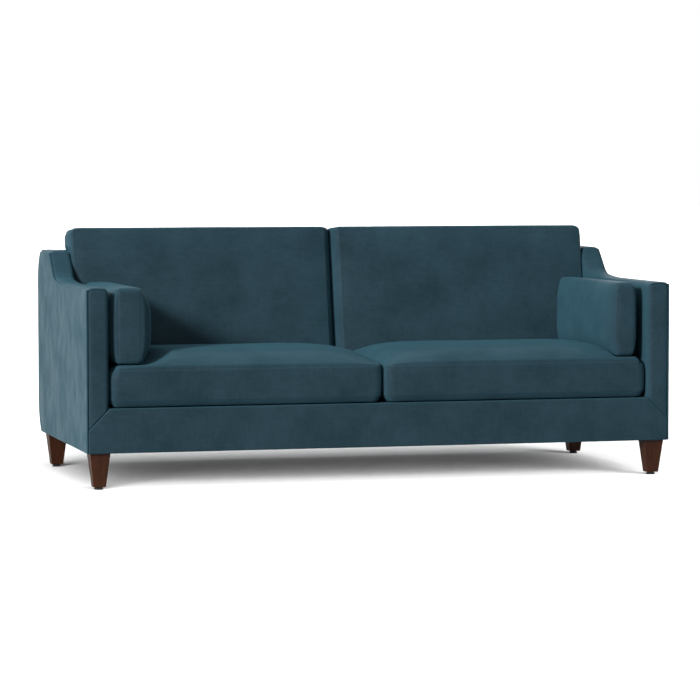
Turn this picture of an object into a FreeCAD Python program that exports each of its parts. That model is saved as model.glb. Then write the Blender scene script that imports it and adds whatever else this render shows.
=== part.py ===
import FreeCAD, Part
import math
import os
import re
import Sketcher

# A two-seat upholstered sofa with slim square arms that sweep up to the back.
# Millimetres. X runs across the sofa, Y from front to back and Z up. The origin is on the floor at the
# middle of the footprint. Heights and depths below are counted from the floor and from the front plane.

Vector = FreeCAD.Vector
doc = FreeCAD.newDocument("square_arm_sofa")

# Driving dimensions

DIMENSIONS = [
    ("overall_width", 2134, "outside of one arm to outside of the other"),
    ("overall_depth", 1008, "front plane to the furthest point of the outside back"),
    ("base_height", 128, "floor to the lower edge of the upholstery"),
    ("deck_height", 283, "floor to the top of the deck that carries the cushions"),
    ("arm_width", 80, "outside to inside of an arm"),
    ("arm_front_height", 699, "floor to the level front part of the arm"),
    ("arm_rear_height", 806, "floor to the level rear part of the arm and the top of the back"),
    ("sweep_start", 440, "front plane to where the arm top starts to rise"),
    ("sweep_radius", 1500, "slow curve at the start of the rise"),
    ("sweep_angle", 7.5, "slope where the slow curve ends"),
    ("throat_radius", 80, "quick curve that turns the slow rise into the steep one"),
    ("rise_angle", 45, "slope of the steep part of the rise"),
    ("crest_radius", 16, "convex curve at the top of the rise"),
    ("back_top_depth", 948, "front plane to where the top of the back rolls over"),
    ("back_roll_height", 690, "floor to the lower end of the roll at the top of the back"),
    ("back_roll_radius", 145, "roll at the top of the outside back"),
    ("back_tuck_depth", 1004, "depth where the outside back starts to tuck under"),
    ("back_tuck_height", 240, "height where the outside back starts to tuck under"),
    ("back_tuck_radius", 160, "curve of the tuck under the outside back"),
    ("back_foot_depth", 950, "front plane to the lower edge of the outside back"),
    ("panel_thickness", 8, "outside arm panel: board, wadding and cloth"),
    ("arm_pad", 14, "padding over the top and front of an arm and over the front rail"),
    ("arm_inside_pad", 27, "padding over the inside of an arm"),
    ("soft_edge", 13, "rounding of the arm's inner edges and of the back's front edge"),
    ("rear_plane", 944, "front plane to the back of the timber frame"),
    ("rail_bottom", 160, "floor to the lower edge of the seat rails"),
    ("rail_top", 262, "floor to the upper edge of the seat rails"),
    ("rail_thickness", 28, "thickness of rails"),
    ("post_thickness", 44, "thickness of the arm and back posts across the sofa"),
    ("front_post_depth", 50, "front post, front to back"),
    ("arm_rail_height", 50, "shaped arm top rail"),
    ("centre_rail_bottom", 170, "floor to the lower edge of the centre seat rail"),
    ("centre_rail_top", 240, "floor to the upper edge of the centre seat rail"),
    ("deck_pad_thickness", 11, "deck pad over the springs"),
    ("back_rake", 10.8, "lean of the inside back and the back cushions"),
    ("back_plane_depth", 782, "front plane to the inside back at deck height"),
    ("back_pad", 20, "padding on the inside back, measured level"),
    ("web_gap", 3, "room for the webbing behind the inside back pad, measured level"),
    ("back_rail_height", 60, "height of the lower and top back rails"),
    ("lower_rail_bottom", 290, "floor to the lower back rail"),
    ("top_rail_bottom", 728, "floor to the top back rail"),
    ("upright_width", 40, "centre upright of the back"),
    ("web_width", 50, "elastic webbing strap"),
    ("web_thickness", 2, "elastic webbing strap"),
    ("web_count", 8, "straps up the back"),
    ("web_setback", 2.4, "front of a strap to the front of the timber, measured level"),
    ("block_size", 89, "corner block over a leg, each way"),
    ("block_bottom", 134, "floor to the lower face of a corner block"),
    ("leg_inset_side", 50.4, "outside of the arm to the middle of a leg"),
    ("leg_front_depth", 54, "front plane to the middle of a front leg"),
    ("leg_rear_depth", 901.5, "front plane to the middle of a rear leg"),
    ("leg_top_width", 72, "square leg at the top"),
    ("leg_foot_width", 43, "square leg at the foot"),
    ("leg_top", 131, "floor to the top face of a leg, inside the dust cover"),
    ("leg_edge", 2, "rounding of the leg's long edges"),
    ("glide_height", 10, "glide under a leg"),
    ("glide_base_height", 7, "wide lower part of a glide"),
    ("glide_diameter", 31, "wide lower part of a glide"),
    ("glide_bevel", 1.5, "bevel of a glide's lower and upper edge"),
    ("glide_neck_diameter", 24, "narrow upper part of a glide"),
    ("nail_diameter", 3, "nail of a glide"),
    ("nail_length", 16, "nail of a glide"),
    ("plate_width", 76, "square plate between leg and corner block"),
    ("bolt_diameter", 8, "hanger bolt of a leg"),
    ("bolt_depth", 40, "hanger bolt inside the leg"),
    ("bolt_reach", 24, "hanger bolt above the plate"),
    ("screw_diameter", 4, "screws of a leg plate"),
    ("screw_head_diameter", 8, "screws of a leg plate"),
    ("screw_reach", 18, "screws inside the corner block"),
    ("screw_offset", 28, "screw to the middle of the plate, each way"),
    ("hole_clearance", 0.4, "added to the diameter of a drilled hole, and left between boards"),
    ("tool_overrun", 1, "how far a cutting form runs past what it cuts"),
    ("dowel_diameter", 10, "dowels in the rail ends"),
    ("dowel_half_length", 22, "dowel on each side of a joint"),
    ("seat_dowel_edge", 30, "edge of a seat rail to the middle of a dowel"),
    ("back_dowel_edge", 16, "edge of a back rail to the middle of a dowel"),
    ("spring_count", 10, "sinuous springs under the seat"),
    ("spring_wire", 3.6, "spring wire diameter"),
    ("spring_half_width", 32, "middle of a spring to the outside of its loops"),
    ("spring_bars", 24, "cross bars in one spring"),
    ("clip_height", 9, "spring clip on a rail"),
    ("clip_depth", 22, "spring clip, front to back"),
    ("clip_width", 20, "spring clip, across"),
    ("cloth_thickness", 1.5, "dust cover"),
    ("rest_gap", 0.5, "deck to the cushions that stand on it"),
    ("lean_gap", 2, "back cushion to the inside back, measured level"),
    ("seat_gap", 3, "cushion side to the middle of the sofa or to the arm"),
    ("seat_front", 10, "front plane to the seat cushion"),
    ("seat_lower_seam", 299, "floor to the lower seam of the seat cushion"),
    ("seat_upper_seam", 414, "floor to the upper seam of the seat cushion"),
    ("seat_crown", 480, "floor to the top of the seat cushion"),
    ("seat_rear_clearance", 10, "seat cushion to the back cushion, measured level"),
    ("seat_crown_inset", 250, "edge of the seat cushion to the flat middle of its crown"),
    ("seat_dent", 146, "width of the seat that the arm pillow presses flat"),
    ("cushion_corner", 30, "plan rounding of a cushion's corners"),
    ("side_draw", 5, "how far a cushion's side pulls in between its corners"),
    ("cover_thickness", 9, "cushion cover with its wadding"),
    ("fill_gap", 0.5, "cover to the fill inside it"),
    ("back_cushion_length", 590, "back cushion along its lean"),
    ("back_cushion_seam", 146, "rear face of the back cushion to its front seam"),
    ("back_cushion_depth", 158, "rear face of the back cushion to its front crown"),
    ("back_crown_inset", 120, "edge of the back cushion to the flat middle of its crown"),
    ("pillow_middle", 905.5, "middle of the sofa to the middle of an arm pillow"),
    ("pillow_boxing", 80, "boxing width of an arm pillow"),
    ("pillow_depth", 122, "arm pillow over both crowns"),
    ("pillow_front", 26, "front plane to the arm pillow"),
    ("pillow_length", 594, "arm pillow, front to back"),
    ("pillow_bottom", 431, "floor to the lower edge of the arm pillow"),
    ("pillow_height", 269, "arm pillow, bottom to top"),
    ("pillow_crown_inset", 76, "edge of the arm pillow to the flat middle of its crown"),
    ("pillow_corner", 22, "rounding of the arm pillow's corners"),
    ("zip_length", 800, "zip chain in a cushion cover"),
    ("zip_tape_width", 24, "zip tape"),
    ("zip_tape_thickness", 1.2, "zip tape"),
    ("zip_chain_width", 4, "zip teeth"),
    ("zip_chain_height", 1.5, "zip teeth above the tape"),
    ("zip_seat_height", 350, "floor to the middle of a seat cushion's zip"),
    ("zip_back_offset", 62, "rear face of the back cushion to the middle of its zip"),
    ("slider_length", 10, "zip slider along the zip"),
    ("slider_width", 9, "zip slider across the zip"),
    ("slider_height", 3.6, "zip slider off the tape"),
    ("slider_clearance", 0.4, "zip slider to the zip"),
    ("pull_length", 18, "pull tab of a zip slider"),
    ("pull_width", 5, "pull tab of a zip slider"),
    ("pull_thickness", 1, "pull tab of a zip slider"),
]

sheet = doc.addObject("Spreadsheet::Sheet", "dims")
for row, (alias, number, note) in enumerate(DIMENSIONS, start=1):
    sheet.set(f"A{row}", note)
    sheet.set(f"B{row}", str(number))
    sheet.setAlias(f"B{row}", alias)
doc.recompute()


def formula(text):
    """Writes the sheet's name before each alias. Every alias has an underscore, and no function has."""
    return re.sub(r"\b([a-z]+(?:_[a-z]+)+)\b", r"dims.\1", str(text))


def value(text):
    return float(sheet.evalExpression(formula(text)))


def bind(thing, name, text):
    thing.setExpression(name, formula(text))


# Places that several pieces share, as formulas of the driving dimensions

HALF = "overall_width / 2"
ARM_INSIDE = f"{HALF} - arm_width"
ARM_TIMBER = f"{ARM_INSIDE} + arm_inside_pad"
PANEL_INSIDE = f"{HALF} - panel_thickness"
POST_OUTSIDE = f"{ARM_TIMBER} + post_thickness"
LEAN = "tan(back_rake * 1 deg)"
TIMBER_PLANE = "back_plane_depth + back_pad + web_gap"
LOWER_RAIL_FRONT = f"{TIMBER_PLANE} + (lower_rail_bottom + back_rail_height - deck_height) * {LEAN}"
TOP_RAIL_FRONT = f"{TIMBER_PLANE} + (top_rail_bottom + back_rail_height - deck_height) * {LEAN}"
BACK_CUSHION_FOOT = "back_plane_depth - lean_gap"
SEAT_REAR_AT_DECK = f"{BACK_CUSHION_FOOT} - back_cushion_depth / cos(back_rake * 1 deg) - seat_rear_clearance"

rake = math.radians(value("back_rake"))
front_y = -value("overall_depth / 2")
parts = []


# Helpers that make one kind of document object each

def keep(thing, label):
    """Names a finished piece. Its label is also the name of its file."""
    thing.Label = label
    parts.append(thing)
    return thing


def block(name, x_span, y_span, z_span):
    """A square-cut piece between two limits along each axis, with Y counted from the front plane."""
    box = doc.addObject("Part::Box", name)
    limits = zip("xyz", ("Length", "Width", "Height"), (x_span, y_span, z_span))
    for axis, side, (low, high) in limits:
        bind(box, side, f"({high}) - ({low})")
        shift = " - overall_depth / 2" if axis == "y" else ""
        bind(box, f"Placement.Base.{axis}", f"({low}){shift}")
    return box


def rod(name, diameter, length, base, direction):
    """A cylinder from a point, with Y counted from the front plane."""
    cylinder = doc.addObject("Part::Cylinder", name)
    bind(cylinder, "Radius", f"({diameter}) / 2")
    bind(cylinder, "Height", length)
    cylinder.Placement.Rotation = FreeCAD.Rotation(Vector(0, 0, 1), direction)
    for axis, place in zip("xyz", base):
        shift = " - overall_depth / 2" if axis == "y" else ""
        bind(cylinder, f"Placement.Base.{axis}", f"({place}){shift}")
    return cylinder


def group(name, things):
    compound = doc.addObject("Part::Compound", name)
    compound.Links = things
    return compound


def cut(name, base, tools):
    """Takes one or more tools away from a base."""
    result = doc.addObject("Part::Cut", name)
    result.Base = base
    if len(tools) == 1:
        result.Tool = tools[0]
    else:
        joined = doc.addObject("Part::MultiFuse", f"{name}_tools")
        joined.Shapes = tools
        result.Tool = joined
    return result


def common(name, base, tool):
    result = doc.addObject("Part::Common", name)
    result.Base = base
    result.Tool = tool
    return result


def mirrored(thing, name):
    """The same piece on the other side of the sofa."""
    mirror = doc.addObject("Part::Mirroring", name)
    mirror.Source = thing
    mirror.Normal = Vector(1, 0, 0)
    return mirror


def keep_pair(thing, label):
    """Keeps a right-hand piece and its mirrored left-hand twin."""
    keep(thing, f"{label}_right")
    keep(mirrored(thing, f"{label}_mirror"), f"{label}_left")


def place_sketch(sketch, x_text):
    """Stands a sketch upright across the sofa: its x is the depth and its y is the height."""
    sketch.Placement.Rotation = FreeCAD.Rotation(Vector(1, 1, 1), 120)
    bind(sketch, "Placement.Base.x", x_text)
    bind(sketch, "Placement.Base.y", "-overall_depth / 2")


def draw_polygon(sketch, points):
    """Straight runs in a sketch, whose corners are bound to formulas."""
    corners = [Vector(value(x_text), value(y_text), 0) for x_text, y_text in points]
    count = len(corners)
    for index in range(count):
        sketch.addGeometry(Part.LineSegment(corners[index], corners[(index + 1) % count]), False)
    for index, (x_text, y_text) in enumerate(points):
        sketch.addConstraint(Sketcher.Constraint("Coincident", index, 2, (index + 1) % count, 1))
        for kind, text in (("DistanceX", x_text), ("DistanceY", y_text)):
            place = sketch.addConstraint(Sketcher.Constraint(kind, -1, 1, index, 1, value(text)))
            bind(sketch, f"Constraints[{place}]", text)


def polygon(name, points):
    """A sketch of its own with one closed outline of straight runs."""
    sketch = doc.addObject("Sketcher::SketchObject", name)
    draw_polygon(sketch, points)
    return sketch


def extruded(name, outline, length, direction=Vector(1, 0, 0), x_text=None):
    """A solid made by pushing an outline along a direction."""
    solid = doc.addObject("Part::Extrusion", name)
    solid.Base = outline
    solid.DirMode = "Custom"
    solid.Dir = direction
    bind(solid, "LengthFwd", length)
    solid.Solid = True
    if x_text is not None:
        bind(solid, "Placement.Base.x", x_text)
    return solid


def solid_feature(name, shape, placement=None):
    """A piece whose shape is worked out below from the sheet's values."""
    feature = doc.addObject("Part::Feature", name)
    feature.Shape = shape
    feature.Placement = placement or FreeCAD.Placement(Vector(0, front_y, 0), FreeCAD.Rotation())
    return feature


# Side outline of the sofa: level arm, slow rise, steep rise, level rear, rolled and tucked outside back

def side_outline():
    front_height = value("arm_front_height")
    rear_height = value("arm_rear_height")
    base = value("base_height")
    slow = math.radians(value("sweep_angle"))
    steep = math.radians(value("rise_angle"))
    slow_radius = value("sweep_radius")
    throat = value("throat_radius")
    crest = value("crest_radius")
    start = Vector(value("sweep_start"), front_height, 0)
    slow_centre = start + Vector(0, slow_radius, 0)
    slow_end = slow_centre + slow_radius * Vector(math.sin(slow), -math.cos(slow), 0)
    throat_centre = slow_end + throat * Vector(-math.sin(slow), math.cos(slow), 0)
    throat_end = throat_centre + throat * Vector(math.sin(steep), -math.cos(steep), 0)
    crest_height = rear_height - crest * (1 - math.cos(steep))
    rise_end = throat_end + (crest_height - throat_end.y) * Vector(1 / math.tan(steep), 1, 0)
    crest_centre = rise_end + crest * Vector(math.sin(steep), -math.cos(steep), 0)
    crest_end = crest_centre + Vector(0, crest, 0)
    roll_start = Vector(value("back_top_depth"), rear_height, 0)
    roll_end = Vector(value("overall_depth"), value("back_roll_height"), 0)
    tuck_start = Vector(value("back_tuck_depth"), value("back_tuck_height"), 0)
    tuck_end = Vector(value("back_foot_depth"), base, 0)

    def arc_between(first, last, centre, radius):
        middle = (first + last) / 2 - centre
        return Part.Arc(first, centre + middle.normalize() * radius, last)

    def bowed(first, last, radius):
        """An arc that bows towards the rear."""
        chord = last - first
        rise = math.sqrt(radius ** 2 - (chord.Length / 2) ** 2)
        inward = Vector(chord.y, -chord.x, 0).normalize()
        return arc_between(first, last, (first + last) / 2 + inward * rise, radius)

    foot = Vector(0, base, 0)
    shoulder = Vector(0, front_height, 0)
    runs = [
        Part.LineSegment(foot, shoulder),
        Part.LineSegment(shoulder, start),
        arc_between(start, slow_end, slow_centre, slow_radius),
        arc_between(slow_end, throat_end, throat_centre, throat),
        Part.LineSegment(throat_end, rise_end),
        arc_between(rise_end, crest_end, crest_centre, crest),
        Part.LineSegment(crest_end, roll_start),
        bowed(roll_start, roll_end, value("back_roll_radius")),
        Part.LineSegment(roll_end, tuck_start),
        bowed(tuck_start, tuck_end, value("back_tuck_radius")),
        Part.LineSegment(tuck_end, foot),
    ]
    return solid_feature("side_outline", Part.Wire([run.toShape() for run in runs]),
                         FreeCAD.Placement(Vector(0, front_y, 0), FreeCAD.Rotation(Vector(1, 1, 1), 120)))


outline = side_outline()


def outline_inset(name, inset):
    """The side outline, drawn in all round by a distance."""
    offset = doc.addObject("Part::Offset2D", name)
    offset.Source = outline
    bind(offset, "Value", f"-({inset})")
    offset.Join = 2
    return offset


# Arms: a flat outside panel, and a padded cover that wraps the inside, top and front of the timber

def arm_upholstery():
    panel = extruded("arm_panel", outline, "panel_thickness", x_text=PANEL_INSIDE)
    keep_pair(panel, "outside_arm_panel")

    whole = extruded("arm_whole", outline, f"({PANEL_INSIDE}) - ({ARM_INSIDE})", x_text=ARM_INSIDE)
    hollow_outline = outline_inset("arm_hollow_outline", "arm_pad")
    hollow = extruded("arm_hollow", hollow_outline, "arm_width", x_text=ARM_TIMBER)
    past_arm = (f"{ARM_INSIDE} - arm_pad", f"{HALF} + arm_pad")
    behind_frame = block("behind_frame", past_arm, ("rear_plane", "overall_depth + arm_pad"),
                         ("0", "arm_rear_height + arm_pad"))
    below_deck = block("below_deck", past_arm, ("arm_pad", "rear_plane + arm_pad"), ("0", "deck_height"))
    below_mitre = extruded("below_mitre", mitre_outline(), "arm_pad * 2", Vector(0, 1, 0))
    beside_back = extruded("beside_back", back_end_outline(), "arm_width")
    padded = cut("arm_padded", whole, [hollow, behind_frame, below_deck, below_mitre, beside_back])
    doc.recompute()

    inner = value(ARM_INSIDE)
    soft = value("soft_edge")
    rounded = doc.addObject("Part::Fillet", "arm_rounded")
    rounded.Base = padded
    chosen = []
    for number, edge in enumerate(padded.Shape.Edges, start=1):
        middle = edge.valueAt((edge.FirstParameter + edge.LastParameter) / 2)
        beside_outline = Part.Vertex(0, middle.y, middle.z).distToShape(outline.Shape)[0]
        if abs(middle.x - inner) < 0.01 and beside_outline < 0.01:
            chosen.append((number, soft, soft))
    rounded.Edges = chosen
    keep_pair(rounded, "arm_cover")


def mitre_outline():
    """The part of an arm front that belongs to the front rail cover, below a diagonal seam."""
    shoulder = "arm_width + tool_overrun"
    points = [("0", "0"), (shoulder, "0"), (shoulder, f"deck_height + tool_overrun - ({shoulder})"),
              ("0", "deck_height + tool_overrun")]
    sketch = polygon("below_mitre_outline", points)
    sketch.Placement.Rotation = FreeCAD.Rotation(Vector(1, 0, 0), 90)
    bind(sketch, "Placement.Base.x", f"{ARM_INSIDE} - tool_overrun")
    bind(sketch, "Placement.Base.y", "-overall_depth / 2 - arm_pad")
    return sketch


def back_end_outline():
    """Where the ends of the back rails pass the arm, behind the inside back's padding."""
    lining = "back_plane_depth + back_pad"
    top = "arm_rear_height - arm_pad"
    rear = "rear_plane + tool_overrun"
    foot = "deck_height - tool_overrun"
    points = [(lining, foot), (rear, foot), (rear, top), (f"{lining} + ({top} - deck_height) * {LEAN}", top)]
    sketch = polygon("beside_back_outline", points)
    place_sketch(sketch, f"{ARM_INSIDE} - tool_overrun")
    return sketch


arm_upholstery()


# Front rail cover: one padded panel whose ends run out to the arms' outside edges under the mitre seams

def front_rail_cover():
    width = f"2 * ({PANEL_INSIDE})"
    shoulder = "arm_width - panel_thickness"
    points = [("0", "base_height"), (width, "base_height"), (width, f"deck_height - ({shoulder})"),
              (f"{width} - ({shoulder})", "deck_height"), (shoulder, "deck_height"),
              ("0", f"deck_height - ({shoulder})")]
    sketch = polygon("front_rail_outline", points)
    sketch.Placement.Rotation = FreeCAD.Rotation(Vector(1, 0, 0), 90)
    bind(sketch, "Placement.Base.x", f"-({PANEL_INSIDE})")
    bind(sketch, "Placement.Base.y", "-overall_depth / 2")
    keep(extruded("front_rail_padding", sketch, "arm_pad", Vector(0, 1, 0)), "front_rail_cover")


front_rail_cover()


# Timber seat frame: rails butt between the posts and are dowelled, with a block under each corner

FIT = "hole_clearance"
POST_FRONT = "arm_pad + hole_clearance"
FRONT_POST_REAR = f"{POST_FRONT} + front_post_depth"
RAIL_END = f"{ARM_TIMBER} - hole_clearance"
TIMBER_REAR = "rear_plane - hole_clearance"


def dowel_rows():
    """Each joint between a rail end and a post: depth and height of its two dowels."""
    seat_rows = ("rail_bottom + seat_dowel_edge", "rail_top - seat_dowel_edge")
    low_in_back, high_in_back = "back_dowel_edge", "back_rail_height - back_dowel_edge"
    lower_rows = (f"lower_rail_bottom + {low_in_back}", f"lower_rail_bottom + {high_in_back}")
    top_rows = (f"top_rail_bottom + {low_in_back}", f"top_rail_bottom + {high_in_back}")
    return {
        "front_seat_rail": (f"{POST_FRONT} + rail_thickness / 2", seat_rows),
        "back_seat_rail": (f"{TIMBER_REAR} - rail_thickness / 2", seat_rows),
        "back_lower_rail": (f"{LOWER_RAIL_FRONT} + rail_thickness / 2", lower_rows),
        "back_top_rail": (f"{TOP_RAIL_FRONT} + rail_thickness / 2", top_rows),
    }


def dowel_rods(name, rail, diameter, margin):
    """Rods across the right-hand joint of a rail."""
    depth, levels = dowel_rows()[rail]
    half_length = f"(dowel_half_length + {margin})"
    start = f"{ARM_TIMBER} - {half_length}"
    rods = []
    for number, level in enumerate(levels, start=1):
        place = (start, depth, level)
        rods.append(rod(f"{name}_{rail}_{number}", diameter, f"2 * {half_length}", place, Vector(1, 0, 0)))
    return rods


def doweled_rail(label, z_span):
    """A rail right across the sofa, drilled at both ends."""
    depth = dowel_rows()[label][0]
    y_span = (f"{depth} - rail_thickness / 2", f"{depth} + rail_thickness / 2")
    board = block(f"{label}_board", (f"-({RAIL_END})", RAIL_END), y_span, z_span)
    right = dowel_rods("hole", label, f"dowel_diameter + {FIT}", FIT)
    left = [mirrored(hole, f"{hole.Name}_mirror") for hole in right]
    keep(cut(f"{label}_drilled", board, right + left), label)


def timber_frame():
    seat_rail = ("rail_bottom", "rail_top")
    doweled_rail("front_seat_rail", seat_rail)
    doweled_rail("back_seat_rail", seat_rail)
    doweled_rail("back_lower_rail", ("lower_rail_bottom", "lower_rail_bottom + back_rail_height"))
    doweled_rail("back_top_rail", ("top_rail_bottom", "top_rail_bottom + back_rail_height"))

    side = block("side_rail", (ARM_TIMBER, f"{ARM_TIMBER} + rail_thickness"),
                 (f"{FRONT_POST_REAR} + {FIT}", f"{TIMBER_PLANE} - {FIT}"), seat_rail)
    keep_pair(side, "side_seat_rail")
    centre = block("centre_rail", ("-rail_thickness / 2", "rail_thickness / 2"),
                   (f"{POST_FRONT} + rail_thickness + {FIT}", f"{TIMBER_REAR} - rail_thickness - {FIT}"),
                   ("centre_rail_bottom", "centre_rail_top"))
    keep(centre, "centre_seat_rail")

    post = block("front_post", (ARM_TIMBER, POST_OUTSIDE), (POST_FRONT, FRONT_POST_REAR),
                 ("rail_bottom", f"arm_front_height - arm_pad - {FIT}"))
    holes = dowel_rods("post_hole", "front_seat_rail", f"dowel_diameter + {FIT}", FIT)
    keep_pair(cut("front_post_drilled", post, holes), "arm_front_post")

    post_top = f"arm_rear_height - arm_pad - {FIT}"
    post_top_front = f"{TIMBER_PLANE} + ({post_top} - deck_height) * {LEAN}"
    points = [(TIMBER_PLANE, "rail_bottom"), (TIMBER_REAR, "rail_bottom"), (TIMBER_REAR, post_top),
              (post_top_front, post_top), (TIMBER_PLANE, "deck_height")]
    sketch = polygon("back_post_outline", points)
    place_sketch(sketch, ARM_TIMBER)
    post = extruded("back_post", sketch, "post_thickness")
    holes = []
    for rail in ("back_seat_rail", "back_lower_rail", "back_top_rail"):
        holes += dowel_rods("post_hole", rail, f"dowel_diameter + {FIT}", FIT)
    keep_pair(cut("back_post_drilled", post, holes), "back_post")

    outer_line = outline_inset("arm_rail_outer_line", f"arm_pad + {FIT}")
    inner_line = outline_inset("arm_rail_inner_line", f"arm_pad + {FIT} + arm_rail_height")
    outer = extruded("arm_rail_outer", outer_line, "post_thickness", x_text=ARM_TIMBER)
    inner = extruded("arm_rail_inner", inner_line, "post_thickness", x_text=ARM_TIMBER)
    band = cut("arm_rail_band", outer, [inner])
    above_posts = block("arm_rail_length", (ARM_TIMBER, POST_OUTSIDE),
                        (f"{FRONT_POST_REAR} + {FIT}", f"{TIMBER_PLANE} + back_rail_height"),
                        ("arm_front_height - arm_pad - arm_rail_height * 2", "arm_rear_height"))
    keep_pair(common("arm_rail", band, above_posts), "arm_top_rail")

    dowels = []
    for rail in dowel_rows():
        right = dowel_rods("dowel", rail, "dowel_diameter", "0")
        dowels += right + [mirrored(dowel, f"{dowel.Name}_mirror") for dowel in right]
    keep(group("dowel_group", dowels), "rail_dowels")

    foot = "lower_rail_bottom + back_rail_height"
    points = [(LOWER_RAIL_FRONT, foot), (f"{LOWER_RAIL_FRONT} + rail_thickness", foot),
              (f"{TOP_RAIL_FRONT} + rail_thickness", "top_rail_bottom"), (TOP_RAIL_FRONT, "top_rail_bottom")]
    sketch = polygon("upright_outline", points)
    place_sketch(sketch, "-upright_width / 2")
    keep(extruded("upright", sketch, "upright_width"), "back_centre_upright")


timber_frame()


# Legs: tapered square legs on hanger bolts, each under a plate screwed to its block, with a nailed glide

CORNERS = [("front_left", -1, "leg_front_depth"), ("front_right", 1, "leg_front_depth"),
           ("rear_left", -1, "leg_rear_depth"), ("rear_right", 1, "leg_rear_depth")]
PLATE_OFFSETS = [(-1, -1), (-1, 1), (1, -1), (1, 1)]


def square_plan(name, x_middle, y_middle, width, z_span):
    return block(name, (f"{x_middle} - {width} / 2", f"{x_middle} + {width} / 2"),
                 (f"{y_middle} - {width} / 2", f"{y_middle} + {width} / 2"), z_span)


def screw(name, x_middle, y_middle, margin):
    """A countersunk screw whose head is flush with the lower face of its plate."""
    depth = "(block_bottom - leg_top)"
    cone = doc.addObject("Part::Cone", f"{name}_head")
    bind(cone, "Radius1", f"(screw_head_diameter + {margin}) / 2")
    bind(cone, "Radius2", f"(screw_diameter + {margin}) / 2")
    bind(cone, "Height", depth)
    bind(cone, "Placement.Base.x", x_middle)
    bind(cone, "Placement.Base.y", f"{y_middle} - overall_depth / 2")
    bind(cone, "Placement.Base.z", "leg_top")
    shank = rod(f"{name}_shank", f"screw_diameter + {margin}", f"screw_reach + {margin}",
                (x_middle, y_middle, "block_bottom"), Vector(0, 0, 1))
    fused = doc.addObject("Part::Fuse", name)
    fused.Base = cone
    fused.Tool = shank
    return fused


def glide(name, x_middle, y_middle):
    """A turned glide: wide base, narrow neck and a nail, as one revolved outline."""
    body = doc.addObject("PartDesign::Body", name)
    doc.recompute()
    plane = next(item for item in body.Origin.OriginFeatures if item.Role == "XZ_Plane")
    sketch = body.newObject("Sketcher::SketchObject", f"{name}_outline")
    sketch.AttachmentSupport = [(plane, "")]
    sketch.MapMode = "FlatFace"
    base = "glide_diameter / 2"
    neck = "glide_neck_diameter / 2"
    nail = "nail_diameter / 2"
    top = "glide_height + nail_length"
    points = [("0", "0"), (f"{base} - glide_bevel", "0"), (base, "glide_bevel"),
              (base, "glide_base_height - glide_bevel"), (f"{base} - glide_bevel", "glide_base_height"),
              (neck, "glide_base_height"), (neck, "glide_height"), (nail, "glide_height"), (nail, top),
              ("0", top)]
    draw_polygon(sketch, points)
    revolved = body.newObject("PartDesign::Revolution", f"{name}_turned")
    revolved.Profile = sketch
    revolved.ReferenceAxis = (sketch, ["V_Axis"])
    revolved.Angle = 360
    bind(body, "Placement.Base.x", x_middle)
    bind(body, "Placement.Base.y", f"{y_middle} - overall_depth / 2")
    return body


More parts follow.
